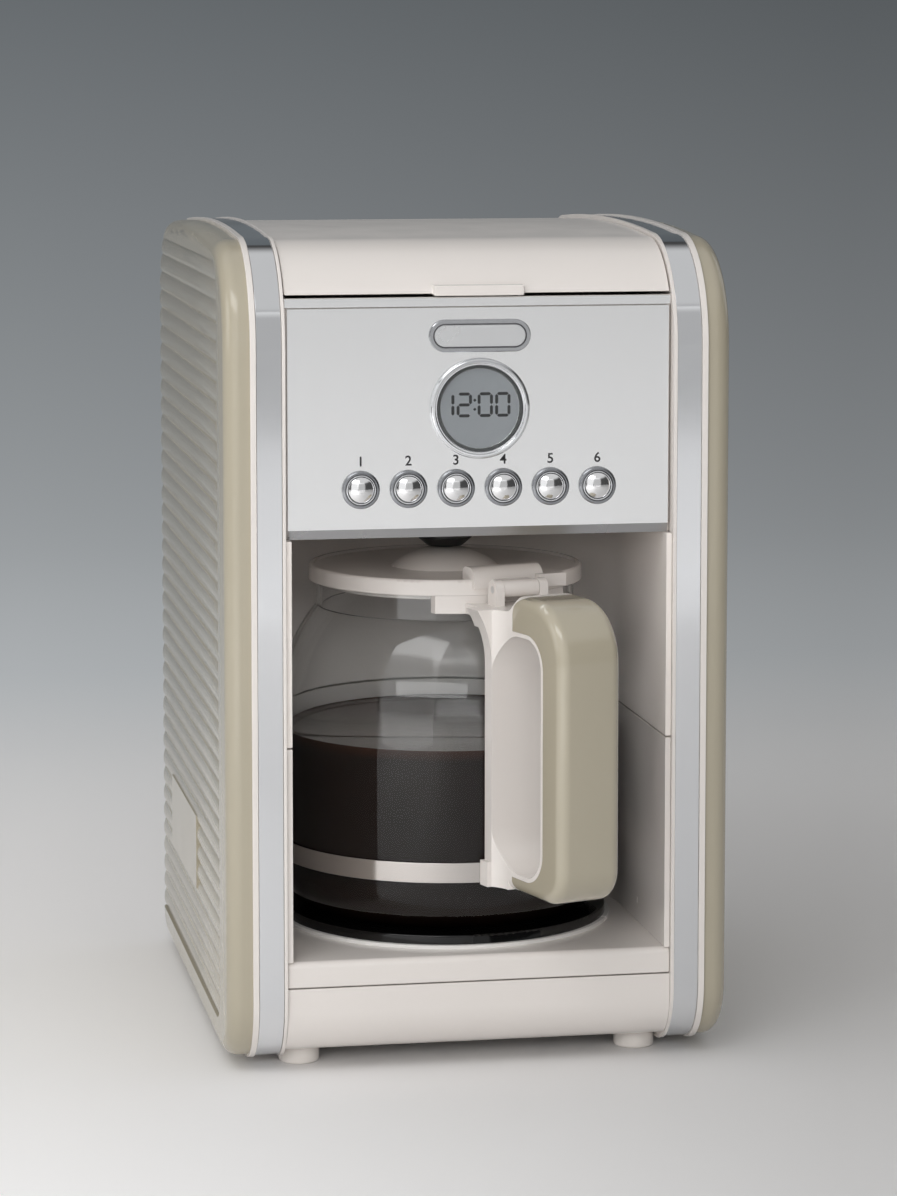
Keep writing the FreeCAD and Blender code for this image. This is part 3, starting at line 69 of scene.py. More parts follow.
solids = frame["nodes"]
scene = bpy.context.scene
scene.view_settings.view_transform = "Standard"

# Camera
# A long lens stands a little to the left of the machine and looks slightly down on it. It is shifted down
# to take in the floor, so that it tilts little and the upright edges stay nearly upright.
CAMERA_SIDE = -0.302
CAMERA_BACK = 1.58925
CAMERA_HIGH = 0.4425
CAMERA_YAW = math.radians(10.253)
CAMERA_PITCH = math.radians(6.054)
LENS_LENGTH = 113.95
LENS_SENSOR = 36.0
LENS_SHIFT = -0.12
VIEW_END = 50.0


def placed(name, data):
    """Put a mesh, a lamp, a lens or a line of text into the scene as a new object."""
    thing = bpy.data.objects.new(name, data)
    scene.collection.objects.link(thing)
    return thing


machine_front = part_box("left_side_frame")[0][1]
lens = bpy.data.cameras.new("long_lens")
lens.lens = LENS_LENGTH
lens.sensor_width = LENS_SENSOR
lens.shift_y = LENS_SHIFT
lens.clip_end = VIEW_END
camera = placed("camera", lens)
camera.location = (CAMERA_SIDE, machine_front - CAMERA_BACK, CAMERA_HIGH)
camera.rotation_euler = (math.pi / 2 - CAMERA_PITCH, 0.0, -CAMERA_YAW)
scene.camera = camera

# Floor and backdrop
# One sheet of pale paper lies under the machine and curves up behind it. Its colour carries painted light:
# it falls off to a cooler grey with distance, and painted shade darkens it a little to the right.
PAPER_HALF = 5.0
PAPER_FRONT, PAPER_FLAT, PAPER_BEND, PAPER_TOP = -4.0, 1.6, 1.2, 3.0
BEND_STEPS = 24
FLOOR_TONE = 0.97
FLOOR_TINT = (1.0, 0.99, 0.985)
PAPER_NEAR, PAPER_FAR = -0.3, 3.4
PAPER_TONES = (
    # metres back and up along the sheet, and how pale the painted light makes it there
    (-0.3, 0.745), (0.0, 0.694), (0.2, 0.63), (0.4, 0.591), (0.7, 0.491), (1.0, 0.429),
    (3.24, 0.127), (3.25, 0.168),
)
TINT_NEAR, TINT_FAR = (1.0, 0.985, 0.975), (0.915, 1.015, 1.09)
TINT_WAY = 2.0
LIT_TO, PAINTED_FROM = 0.25, 1.0
FALL_FOOT = (-0.302, -1.7)
FALL_START, FALL_END, FALL_SHARE = 0.066, 0.293, 0.72


def nodes_of(name):
    """A new material, with its node tree and its surface shader."""
    material = bpy.data.materials.new(name)
    material.use_nodes = True
    tree = material.node_tree
    return material, tree, tree.nodes["Principled BSDF"]


def wire(tree, kind, inputs=(), **settings):
    """Add a node, set its properties, and feed its inputs from values or other nodes' outputs."""
    node = tree.nodes.new(kind)
    for key, value in settings.items():
        setattr(node, key, value)
    for key, value in dict(inputs).items():
        if isinstance(value, bpy.types.NodeSocket):
            tree.links.new(value, node.inputs[key])
        else:
            node.inputs[key].default_value = value
    return node


def own_place(tree):
    """Where a point is in the object's own frame."""
    return wire(tree, "ShaderNodeTexCoord").outputs["Object"]


def noise(tree, place, scale, detail):
    """A soft random pattern with values about a half."""
    pattern = wire(tree, "ShaderNodeTexNoise", {"Vector": place, "Scale": scale, "Detail": detail})
    return pattern.outputs["Fac"]


def relief(tree, shader, height, strength, distance):
    """Let a pattern stand out from the surface as fine relief."""
    bump = wire(tree, "ShaderNodeBump", {"Height": height, "Strength": strength, "Distance": distance})
    tree.links.new(bump.outputs["Normal"], shader.inputs["Normal"])


def sheet_profile():
    """The paper's side view: flat, a quarter round, then upright."""
    line = [(PAPER_FRONT, 0.0), (PAPER_FLAT, 0.0)]
    for step in range(1, BEND_STEPS + 1):
        turn = math.pi / 2 * step / BEND_STEPS
        line.append((PAPER_FLAT + PAPER_BEND * math.sin(turn), PAPER_BEND - PAPER_BEND * math.cos(turn)))
    line.append((PAPER_FLAT + PAPER_BEND, PAPER_TOP))
    return line


def paper_finish():
    """Matt paper near the machine, where its shadow falls and painted shade darkens it to the right, that
    turns into a painted fade of light further back.
    """
    material, tree, shader = nodes_of("paper_finish")
    place = own_place(tree)
    axes = wire(tree, "ShaderNodeSeparateXYZ", {0: place})
    way = wire(tree, "ShaderNodeMath", {0: axes.outputs["Y"], 1: axes.outputs["Z"]}, operation="ADD")
    share = wire(tree, "ShaderNodeMapRange", {"Value": way.outputs[0], "From Min": PAPER_NEAR,
                                              "From Max": PAPER_FAR})
    # Painted light: the paper's tones fade with distance, as the light falls off.
    tones = wire(tree, "ShaderNodeValToRGB", {"Fac": share.outputs[0]})
    stops = tones.color_ramp.elements
    stops.remove(stops[1])
    for index, (distance, tone) in enumerate(PAPER_TONES):
        position = (distance - PAPER_NEAR) / (PAPER_FAR - PAPER_NEAR)
        stop = stops[0] if index == 0 else stops.new(position)
        stop.position = position
        cool = min(max(distance / TINT_WAY, 0.0), 1.0)
        stop.color = (*[tone * (a + (b - a) * cool) for a, b in zip(TINT_NEAR, TINT_FAR)], 1.0)
    tooth = noise(tree, place, scale=300.0, detail=2.0)
    relief(tree, shader, tooth, strength=0.05, distance=0.0005)
    shader.inputs["Roughness"].default_value = 0.8
    # Painted shade: the paper darkens to the right, in a fan from the left front, as the light falls off
    # there.
    across = wire(tree, "ShaderNodeMath", {0: axes.outputs["X"], 1: FALL_FOOT[0]}, operation="SUBTRACT")
    back = wire(tree, "ShaderNodeMath", {0: axes.outputs["Y"], 1: FALL_FOOT[1]}, operation="SUBTRACT")
    slant = wire(tree, "ShaderNodeMath", {0: across.outputs[0], 1: back.outputs[0]}, operation="DIVIDE")
    fall = wire(tree, "ShaderNodeMapRange", {"Value": slant.outputs[0], "From Min": FALL_START,
                                             "From Max": FALL_END, "To Min": 1.0, "To Max": FALL_SHARE})
    floor_tone = (*[FLOOR_TONE * tint for tint in FLOOR_TINT], 1.0)
    unlit = (0.0, 0.0, 0.0, 1.0)
    lit = wire(tree, "ShaderNodeMix", {"Factor": fall.outputs[0], "A": unlit, "B": floor_tone},
               data_type="RGBA")
    tree.links.new(lit.outputs["Result"], shader.inputs["Base Color"])
    # Further back the painted fade glows for camera, glossy and transmission rays, as painted light.
    painted = wire(tree, "ShaderNodeEmission", {"Color": tones.outputs["Color"],
                                                "Strength": fall.outputs[0]})
    beyond = wire(tree, "ShaderNodeMapRange", {"Value": way.outputs[0], "From Min": LIT_TO,
                                               "From Max": PAINTED_FROM}, interpolation_type="SMOOTHSTEP")
    path = wire(tree, "ShaderNodeLightPath")
    seen = wire(tree, "ShaderNodeMath", {0: path.outputs["Is Camera Ray"], 1: path.outputs["Is Glossy Ray"]},
                operation="MAXIMUM")
    seen = wire(tree, "ShaderNodeMath", {0: seen.outputs[0], 1: path.outputs["Is Transmission Ray"]},
                operation="MAXIMUM")
    amount = wire(tree, "ShaderNodeMath", {0: seen.outputs[0], 1: beyond.outputs[0]}, operation="MULTIPLY")
    both = wire(tree, "ShaderNodeMixShader", {0: amount.outputs[0], 1: shader.outputs["BSDF"],
                                              2: painted.outputs["Emission"]})
    tree.links.new(both.outputs[0], tree.nodes["Material Output"].inputs["Surface"])
    return material


profile = sheet_profile()
corners = [(x, y, z) for y, z in profile for x in (-PAPER_HALF, PAPER_HALF)]
strips = [(2 * i, 2 * i + 1, 2 * i + 3, 2 * i + 2) for i in range(len(profile) - 1)]
paper_mesh = bpy.data.meshes.new("paper")
paper_mesh.from_pydata(corners, [], strips)
paper_mesh.shade_smooth()
paper_mesh.materials.append(paper_finish())
paper = placed("paper", paper_mesh)

# Light
# Two tall white boards meet in front of the machine, for the chrome, the panel and the glass to mirror.
# A high box on the left and a low box in front, which nothing mirrors, give most of the light.
# Two lamps reach the sides, and the studio's roof is pale.
LAMP_AIM = (0.0, -0.05, 0.17)
LAMPS = (
    # name, degrees to the right of the front, degrees up, distance, width, height, watts, mirrored
    ("board_left", -36.5, 14.0, 0.80, 0.56, 0.80, 1.15, True),
    ("board_right", 4.5, 16.0, 1.30, 1.02, 1.25, 1.72, True),
    ("box_left", -37.0, 49.0, 1.50, 1.00, 0.42, 3.7, True),
    ("box_front", -20.0, 16.0, 1.50, 1.40, 0.30, 5.3, False),
    ("side_left", -84.0, 19.0, 1.70, 0.80, 1.00, 3.6, True),
    ("side_right", 116.0, 24.0, 1.70, 0.80, 1.00, 1.3, True),
)
SKY_DARK, SKY_PALE = 0.06, 0.62
# The roof starts where a direction leans far enough this way, and rises far enough
ROOF_LEAN = (-0.3, -0.6, 0.8)
LEAN_FROM, LEAN_TO = 0.1, 0.4
RISE_FROM, RISE_TO = 0.5, 0.68

for name, bearing, lift, distance, width, tall, watts, mirrored in LAMPS:
    light = bpy.data.lights.new(name, "AREA")
    light.shape = "RECTANGLE"
    light.size = width
    light.size_y = tall
    light.energy = watts
    turn = Euler((math.radians(lift), 0.0, math.radians(180.0 + bearing)))
    toward = turn.to_matrix() @ Vector((0.0, distance, 0.0))
    lamp = placed(name, light)
    lamp.location = Vector(LAMP_AIM) + toward
    lamp.rotation_euler = (-toward).to_track_quat("-Z", "Y").to_euler()
    lamp.visible_camera = False
    lamp.visible_glossy = mirrored
world = bpy.data.worlds.new("studio")
scene.world = world
world.use_nodes = True
sky = world.node_tree
direction = wire(sky, "ShaderNodeTexCoord")
heading = wire(sky, "ShaderNodeSeparateXYZ", {0: direction.outputs["Generated"]})
lean = wire(sky, "ShaderNodeVectorMath", {0: direction.outputs["Generated"], 1: ROOF_LEAN},
            operation="DOT_PRODUCT")
before = wire(sky, "ShaderNodeMapRange", {"Value": lean.outputs["Value"], "From Min": LEAN_FROM,
                                          "From Max": LEAN_TO}, interpolation_type="SMOOTHSTEP")
above = wire(sky, "ShaderNodeMapRange", {"Value": heading.outputs["Z"], "From Min": RISE_FROM,
                                         "From Max": RISE_TO}, interpolation_type="SMOOTHSTEP")
roof = wire(sky, "ShaderNodeMath", {0: before.outputs[0], 1: above.outputs[0]}, operation="MULTIPLY")
glow = wire(sky, "ShaderNodeMapRange", {"Value": roof.outputs[0], "To Min": SKY_DARK, "To Max": SKY_PALE})
sky.links.new(glow.outputs[0], sky.nodes["Background"].inputs["Color"])
sky.nodes["Background"].inputs["Strength"].default_value = 1.0

# Side frames
# Two upright hoops of cream moulded plastic stand at the sides and carry everything else.
# Their rims make the thin cream beads on each side of the chrome strips.
CREAM = (231, 225, 220)
POLISH_LEAST, POLISH_MOST = 0.8, 1.25
COAT_ROUGH = 0.06
SAME_POINT = 2e-6
FLAT_WITHIN = math.radians(0.25)
EDGE_FROM = math.radians(40)


def tone_of(colour, share=1.0):
    """A colour given as on a screen, from 0 to 255, as the light that the shader needs."""
    light = [(c / 255 / 12.92 if c < 11 else ((c / 255 + 0.055) / 1.055) ** 2.4) * share for c in colour]
    return (*[min(c, 1.0) for c in light], 1.0)


def plastic(name, colour, rough, coat=0.0, peel=0.05, cloud=0.03):
    """Moulded plastic: faint clouding of the colour, uneven polish, and the mould's fine orange peel."""
    material, tree, shader = nodes_of(name)
    place = own_place(tree)
    clouds = noise(tree, place, scale=9.0, detail=3.0)
    tint = wire(tree, "ShaderNodeMix", {"Factor": clouds, "A": tone_of(colour, 1 - cloud),
                                        "B": tone_of(colour, 1 + cloud)}, data_type="RGBA")
    tree.links.new(tint.outputs["Result"], shader.inputs["Base Color"])
    rub = noise(tree, place, scale=45.0, detail=4.0)
    polish = wire(tree, "ShaderNodeMapRange", {"Value": rub, "To Min": rough * POLISH_LEAST,
                                               "To Max": rough * POLISH_MOST})
    tree.links.new(polish.outputs[0], shader.inputs["Roughness"])
    relief(tree, shader, noise(tree, place, scale=420.0, detail=2.0), strength=peel, distance=0.0004)
    shader.inputs["Coat Weight"].default_value = coat
    shader.inputs["Coat Roughness"].default_value = COAT_ROUGH
    return material


def moulded(node, finish, edge=0.0, smooth=34.0, between=()):
    """Show a solid as one joined skin, with the small edge radius that its mould or tool leaves.

    A spring, given the two bodies that it is held between and its end at each, is fixed where it stands and
    tied to neither body.
    """
    source = solids[node]
    mesh = bpy.data.meshes.new(node + "_skin")
    mesh.from_pydata([v.co for v in source.data.vertices], [], [p.vertices for p in source.data.polygons])
    work = bmesh.new()
    work.from_mesh(mesh)
    bmesh.ops.remove_doubles(work, verts=work.verts, dist=SAME_POINT)
    bmesh.ops.dissolve_limit(work, angle_limit=FLAT_WITHIN, verts=work.verts, edges=work.edges)
    work.to_mesh(mesh)
    work.free()
    mesh.shade_smooth()
    mesh.set_sharp_from_angle(angle=math.radians(smooth))
    mesh.materials.append(finish)
    skin = placed(node + "_skin", mesh)
    if edge:
        bevel = skin.modifiers.new("mould_radius", "BEVEL")
        bevel.width = edge
        bevel.segments = 2
        bevel.limit_method = "ANGLE"
        bevel.angle_limit = EDGE_FROM
        bevel.use_clamp_overlap = True
        bevel.harden_normals = True
    if between:
        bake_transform(skin)
    else:
        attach(skin, source["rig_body"])
    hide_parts(node)
    return skin


cream = plastic("cream_plastic", CREAM, 0.24, coat=0.15)
for node in ("left_side_frame", "right_side_frame"):
    moulded(node, cream, edge=0.0005)

# Chrome strips
# Bright plated metal strips run up the front and over the top.
# Each is sprung into the groove along its side frame.
CHROME = (0.81, 0.82, 0.84)
WORN_TONE = 0.97


def metal(name, tone, rough, spread=0.25, grain=(60.0, 60.0, 60.0), scratches=0.0):
    """Plated or brushed metal: uneven polish along the grain, and fine scratches where it has any."""
    material, tree, shader = nodes_of(name)
    along = wire(tree, "ShaderNodeMapping", {"Vector": own_place(tree), "Scale": grain})
    wear = noise(tree, along.outputs[0], scale=1.0, detail=5.0)
    polish = wire(tree, "ShaderNodeMapRange", {"Value": wear, "To Min": rough * (1 - spread),
                                               "To Max": rough * (1 + spread)})
    tree.links.new(polish.outputs[0], shader.inputs["Roughness"])
    tint = wire(tree, "ShaderNodeMix", {"Factor": wear, "A": (*[t * WORN_TONE for t in tone], 1.0),
                                        "B": (*tone, 1.0)}, data_type="RGBA")
    tree.links.new(tint.outputs["Result"], shader.inputs["Base Color"])
    shader.inputs["Metallic"].default_value = 1.0
    if scratches:
        relief(tree, shader, wear, strength=0.2, distance=scratches)
    return material


chrome = metal("chrome_plate", CHROME, 0.09)
for node in ("left_chrome_strip", "right_chrome_strip"):
    moulded(node, chrome, edge=0.00025)

# Side panels
# Each side is closed by a glossy taupe shell with rounded edges and a sunk field of level ribs,
# moulded in one and clipped to its frame. A bare plaque stands among the lower ribs.
TAUPE = (176, 168, 149)
taupe = plastic("taupe_plastic", TAUPE, 0.17, coat=0.35, peel=0.04)
for node in ("left_side_panel", "right_side_panel"):
    moulded(node, taupe)

# Base and feet
# A cream pan with a rounded front edge closes the underside, a plate is screwed inside it,
# and the machine stands on four round cream rubber feet.
rubber = plastic("foot_rubber", (242, 236, 230), 0.5, peel=0.12)
steel = metal("screw_steel", (0.6, 0.6, 0.6), 0.3)
inner = plastic("inner_plastic", (205, 202, 196), 0.45)
moulded("base_pan", cream, edge=0.0005)
moulded("bottom_plate", inner, edge=0.0004)
moulded("casing_screws", steel, edge=0.0002)
moulded("feet", rubber, edge=0.0009)
moulded("base_deck", cream, edge=0.0006)

# Bay
# The wall of the carafe's bay is cream plastic in two storeys with a fine seam between them,
# straight at the sides and half round behind the carafe. The upper storey is a paler copy of the cream:
# painted light that lifts the shade inside the bay.
# A paler, matt copy of the cream, as painted light for the shaded upper bay wall.
bay_cream_painted_light = plastic("bay_cream_painted_light", (243, 236, 230), 0.3)
moulded("bay_wall_lower", cream, edge=0.0003)
moulded("bay_wall_upper", bay_cream_painted_light, edge=0.0003)

# Brewing head
# A cream box behind the control panel holds the well for the brew basket. Its front rim shows
# as a narrow line between the panel and the lid, and is plated like the panel.
head = moulded("head_housing", cream, edge=0.0005)
moulded("basket_well", inner, edge=0.0003)

# Control panel
# The front is one sheet of satin silver metal, bent under along its lower edge,
# with faint brushing across its width. The lip's downward faces carry painted shade in a darker copy of the
# silver.
LIP_LEAST, LIP_MOST = -0.8, -0.3
RIM_DEPTH = 0.006
RIM_FACING = -0.9
silver = metal("satin_silver", (0.96, 0.965, 0.97), 0.22, spread=0.08, grain=(6.0, 30.0, 900.0),
               scratches=0.000008)
panel = moulded("control_panel", silver, edge=0.0006, smooth=20.0)
# Painted shade: the lip's downward faces take a darker, duller copy of the silver, where the lip is in
# shadow.
panel.data.materials.append(metal("lip_painted_shade_silver", (0.45, 0.45, 0.46), 0.3))
for face in panel.data.polygons:
    face.material_index = int(LIP_LEAST < face.normal.z < LIP_MOST)
panel_low, panel_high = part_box("control_panel")
panel_front = panel_low[1]
head.data.materials.append(silver)
for face in head.data.polygons:
    in_front = face.normal.y < RIM_FACING and face.center.y < panel_front + RIM_DEPTH
    face.material_index = int(in_front and face.center.z > panel_high[2])

# Badge plate
# A long plate with round ends is fixed to the panel above the display. It is left bare:
# a raised rim of dark chrome, a fine groove and a plain pale field.
BADGE_STEPS = (
    # how far in from the edge and how far forward of the panel in mm, and which finish the band up to it has
    (0.0, 0.0, 0), (0.0, 0.9, 0), (0.35, 1.2, 0), (1.7, 1.2, 0),
    (1.9, 0.75, 1), (2.2, 0.75, 1), (2.4, 1.0, 2),
)
BADGE_FINISHES = (
    metal("dark_chrome", (0.5, 0.51, 0.53), 0.2),
    metal("groove_grey", (0.2, 0.2, 0.21), 0.4),
    metal("badge_field", (0.84, 0.85, 0.86), 0.3),
)
ROUND_POINTS = 24
PRESSED_CREASE = 40.0
MILLIMETRE = 1 / 1000
badge_low, badge_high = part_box("badge_plate")
badge_round = (badge_high[2] - badge_low[2]) / 2
badge_half = (badge_high[0] - badge_low[0]) / 2 - badge_round
badge_middle = (badge_high[2] + badge_low[2]) / 2


def round_ended(inset, forward):
    """One level of the plate: a loop with round ends, drawn in from the plate's edge."""
    loop = []
    reach = badge_round - inset
    for side, first in ((1, -math.pi / 2), (-1, math.pi / 2)):
        for step in range(ROUND_POINTS + 1):
            turn = first + math.pi * step / ROUND_POINTS
            loop.append((side * badge_half + reach * math.cos(turn), badge_high[1] - forward,
                         badge_middle + reach * math.sin(turn)))
    return loop


def banded(work, loops, finishes):
    """Join each loop of points to the next with a band of faces in its own finish."""
    count = len(loops[0])
    for first, second, finish in zip(loops, loops[1:], finishes):
        for i in range(count):
            j = (i + 1) % count
            work.faces.new((first[i], first[j], second[j], second[i])).material_index = finish


def finished(name, work, finishes, crease=None):
    """A closed mesh with its faces outwards, smooth but for edges sharper than the crease."""
    bmesh.ops.recalc_face_normals(work, faces=work.faces)
    mesh = bpy.data.meshes.new(name)
    work.to_mesh(mesh)
    work.free()
    if crease:
        mesh.shade_smooth()
        mesh.set_sharp_from_angle(angle=math.radians(crease))
    for finish in finishes:
        mesh.materials.append(finish)
    return mesh


work = bmesh.new()
rings = [[work.verts.new(spot) for spot in round_ended(inset * MILLIMETRE, forward * MILLIMETRE)]
         for inset, forward, _ in BADGE_STEPS]
banded(work, rings, [finish for _, _, finish in BADGE_STEPS[1:]])
work.faces.new(rings[-1]).material_index = BADGE_STEPS[-1][2]
work.faces.new(rings[0][::-1])
badge = placed("badge", finished("badge", work, BADGE_FINISHES, PRESSED_CREASE))
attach(badge, "casing")
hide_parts("badge_plate")

# Display
# A grey liquid crystal panel sits behind a round window in a stepped chrome bezel.
# Its dark segments show a clock at twelve. The crystal is painted far paler than its grey, as painted light
# against the shade of its recess.
SEGMENTS_LIT = {"0": "abcdef", "1": "bc", "2": "abged"}
DIGIT_WIDE, DIGIT_TALL, DIGIT_STEP = 0.0054, 0.0094, 0.0074
DIGIT_PLACES = (-1.66, -0.62, 0.62, 1.66)
SEGMENT_WIDE, SEGMENT_GAP = 0.0013, 0.12
SEGMENT_FRONT, SEGMENT_BACK = 0.00006, 0.00001
COLON_LONG, COLON_RISE = 1.4, 0.21
CLOCK_SHIFT, CLOCK_RISE = -0.0022, 0.0016
moulded("display_bezel", chrome, edge=0.0003)
# Painted light: the crystal is given a near white instead of its own grey, to make up for the shade behind
# the window.
crystal = plastic("crystal_painted_light", (222, 224, 227), 0.35, peel=0.0, cloud=0.02)
moulded("display_module", crystal)
lens_low, lens_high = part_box("display_lens")
clock_y = lens_high[1]
clock_z = (lens_low[2] + lens_high[2]) / 2 + CLOCK_RISE


def bar(work, x, z, long, upright):
    """One dark segment with pointed ends, lying just in front of the crystal."""
    half, side = long / 2 - SEGMENT_WIDE * SEGMENT_GAP, SEGMENT_WIDE / 2
    outline = [(-half, 0), (side - half, -side), (half - side, -side), (half, 0), (half - side, side),
               (side - half, side)]
    rim = [(v, u) if upright else (u, v) for u, v in outline]
    front = [work.verts.new((x + u, clock_y - SEGMENT_FRONT, z + v)) for u, v in rim]
    back = [work.verts.new((x + u, clock_y - SEGMENT_BACK, z + v)) for u, v in rim]
    work.faces.new(front)
    work.faces.new(back[::-1])
    banded(work, (front, back), (0,))


def digit(work, x, shown):
    """One figure, drawn as those of its seven segments that are dark."""
    wide, tall = DIGIT_WIDE / 2, DIGIT_TALL / 2
    spots = {"a": (0, tall, False), "g": (0, 0, False), "d": (0, -tall, False),
             "b": (wide, tall / 2, True), "c": (wide, -tall / 2, True),
             "e": (-wide, -tall / 2, True), "f": (-wide, tall / 2, True)}
    for name in SEGMENTS_LIT[shown]:
        u, v, upright = spots[name]
        bar(work, x + u, clock_z + v, tall if upright else DIGIT_WIDE, upright)


work = bmesh.new()
for place, shown in zip(DIGIT_PLACES, "1200"):
    digit(work, place * DIGIT_STEP + CLOCK_SHIFT, shown)
for rise in (-COLON_RISE, COLON_RISE):
    bar(work, CLOCK_SHIFT, clock_z + rise * DIGIT_TALL, SEGMENT_WIDE * COLON_LONG, True)
segment_dark = plastic("segment_dark", (22, 23, 25), 0.4, peel=0.0)
clock = placed("clock_digits", finished("clock_digits", work, [segment_dark]))
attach(clock, "casing")


def clear_glass(name, tone, rough, bend):
    """Clear glass that lets the lamps through to what is behind it."""
    material, tree, shader = nodes_of(name)
    shader.inputs["Base Color"].default_value = (*tone, 1.0)
    shader.inputs["Transmission Weight"].default_value = 1.0
    shader.inputs["IOR"].default_value = bend
    place = own_place(tree)
    smear = noise(tree, place, scale=25.0, detail=3.0)
    haze = wire(tree, "ShaderNodeMapRange", {"Value": smear, "From Min": 0.4, "To Max": rough})
    tree.links.new(haze.outputs[0], shader.inputs["Roughness"])
    relief(tree, shader, noise(tree, place, scale=22.0, detail=0.0), strength=0.03, distance=0.001)
    path = wire(tree, "ShaderNodeLightPath")
    through = wire(tree, "ShaderNodeBsdfTransparent", {"Color": (*tone, 1.0)})
    both = wire(tree, "ShaderNodeMixShader", {0: path.outputs["Is Shadow Ray"], 1: shader.outputs["BSDF"],
                                              2: through.outputs["BSDF"]})
    tree.links.new(both.outputs[0], tree.nodes["Material Output"].inputs["Surface"])
    return material


window = clear_glass("window_clear", (0.96, 0.97, 0.97), 0.02, 1.3)
moulded("display_lens", window)

# Push buttons
# Six chrome domes sit in stepped rings along the foot of the panel and press straight in.
# Each ring is grey outside and bright inside, with a fine dark groove between.
BUTTONS = [f"button_{i}" for i in range(1, 7)]
RING_STEPS = (
    # radius and how far forward of the panel in mm, and which finish the band up to it has
    (6.5, -3.0, 0), (6.5, 0.0, 0), (8.2, 0.0, 0), (8.2, 0.9, 0),
    (8.08, 1.36, 0), (7.75, 1.68, 0), (7.3, 1.8, 0), (6.9, 1.8, 0),
    (6.8, 1.3, 1), (6.5, 1.3, 1), (6.4, 1.7, 2), (6.2, 1.8, 2),
    (5.95, 1.75, 2), (5.8, 1.5, 2), (5.8, -3.0, 1), (6.5, -3.0, 1),
)
RING_FINISHES = (
    metal("ring_grey", (0.36, 0.37, 0.39), 0.2),
    metal("ring_groove", (0.12, 0.12, 0.13), 0.4),
    chrome,
)
RING_POINTS = 64
RING_JOIN = 1e-6
button_at = {}
for node in BUTTONS:
    low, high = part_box(node)
    button_at[node] = (low[0] + high[0]) / 2, (low[2] + high[2]) / 2


def ring_loop(work, middle, radius, forward):
    """One circle of points round a button's middle, at a height over the panel."""
    turns = [2 * math.pi * step / RING_POINTS for step in range(RING_POINTS)]
    return [work.verts.new((middle[0] + radius * math.cos(turn), panel_front - forward,
                            middle[1] + radius * math.sin(turn))) for turn in turns]


work = bmesh.new()
for middle in button_at.values():
    loops = [ring_loop(work, middle, radius * MILLIMETRE, forward * MILLIMETRE)
             for radius, forward, _ in RING_STEPS]
    banded(work, loops, [finish for _, _, finish in RING_STEPS[1:]])
bmesh.ops.remove_doubles(work, verts=work.verts, dist=RING_JOIN)
button_rings = placed("button_rings", finished("button_rings", work, RING_FINISHES, PRESSED_CREASE))
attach(button_rings, "casing")
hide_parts("button_bezels")
cap_chrome = metal("cap_chrome", (0.96, 0.96, 0.97), 0.13)
for node in BUTTONS:
    moulded(node, cap_chrome)

# Button numbers
# Small dark figures are printed on the panel, one over each button.
# The ink stands a hair's breadth proud of the metal.
NUMBER_TALL = 0.0060
NUMBER_RISE = 0.0102
NUMBER_BOLD = 0.00009
INK_FRONT = 0.00004
INK_THICK = 0.00003
work = bmesh.new()
for node, (middle_x, middle_z) in button_at.items():
    words = bpy.data.curves.new("figure", "FONT")
    words.body = node[-1]
    words.size = NUMBER_TALL
    words.align_x = "CENTER"
    words.offset = NUMBER_BOLD
    figure = placed("figure", words)
    flat = bpy.data.meshes.new_from_object(figure.evaluated_get(bpy.context.evaluated_depsgraph_get()))
    stand = Matrix.Translation((middle_x, panel_front - INK_FRONT, middle_z + NUMBER_RISE))
    flat.transform(stand @ Euler((math.pi / 2, 0.0, 0.0)).to_matrix().to_4x4())
    work.from_mesh(flat)
    bpy.data.objects.remove(figure)
    bpy.data.curves.remove(words)
    bpy.data.meshes.remove(flat)
bmesh.ops.solidify(work, geom=work.faces[:], thickness=INK_THICK)
print_ink = plastic("print_ink", (38, 38, 40), 0.5, peel=0.0)
numbers = placed("button_numbers", finished("button_numbers", work, [print_ink]))
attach(numbers, "casing")

# Boards and switches
# Two green circuit boards are fixed inside. The one behind the panel carries the six black switches
# that the buttons press, and the other controls the heater.
board = plastic("board_green", (38, 92, 60), 0.4)
black = plastic("black_plastic", (22, 22, 23), 0.32)
for node in ("control_board", "power_board"):
    moulded(node, board)
moulded("button_switches", black)

# Rear cover
# One cream moulded cover closes the back and curves over behind the lid.
# The black gland for the cord sits low in it.
moulded("rear_cover", cream, edge=0.0005)
moulded("cord_gland", black, edge=0.0004)

# Water path
# A pale plastic tank feeds a hose and a check valve, the bent aluminium heater under the plate,
# and the riser hose up to the spray plate.
tank = plastic("tank_plastic", (214, 216, 214), 0.3)
hose = plastic("hose_rubber", (92, 90, 86), 0.5)
bare_metal = metal("bare_metal", (0.74, 0.74, 0.73), 0.32)
moulded("water_tank", tank, edge=0.0003)
for node in ("outlet_seal", "inlet_hose", "riser_hose"):
    moulded(node, hose)
moulded("check_valve", black, edge=0.0004)
moulded("flow_heater", bare_metal)
moulded("heater_clamp", bare_metal, edge=0.0003)
moulded("thermostat", black, edge=0.0004)

# Warming plate
# A black enamelled metal plate stands a little proud of the deck and keeps the jug warm.
# A pale painted metal ring lies round its edge.
enamel = plastic("black_enamel", (6, 6, 6), 0.08, peel=0.02)
ring_paint = plastic("ring_paint", (238, 236, 233), 0.25, coat=0.2)
moulded("hotplate", enamel)
moulded("hotplate_ring", ring_paint)

# Brew basket
# A pale basket hangs in the well with a fine steel filter inside. Under it the black drip stop
# is held shut by a spring until the carafe pushes it up.
mesh_steel = metal("mesh_steel", (0.62, 0.61, 0.58), 0.35)
moulded("brew_basket", inner, edge=0.0003)
moulded("mesh_filter", mesh_steel)
moulded("drip_valve", black, edge=0.0005)
moulded("valve_seal", hose, edge=0.0003)
spring_low, spring_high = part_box("valve_spring")
spring_foot = (0.0, (spring_low[1] + spring_high[1]) / 2, spring_low[2])
spring_head = (0.0, spring_foot[1], spring_high[2])
moulded("valve_spring", steel, between=("basket", "valve", spring_head, spring_foot))

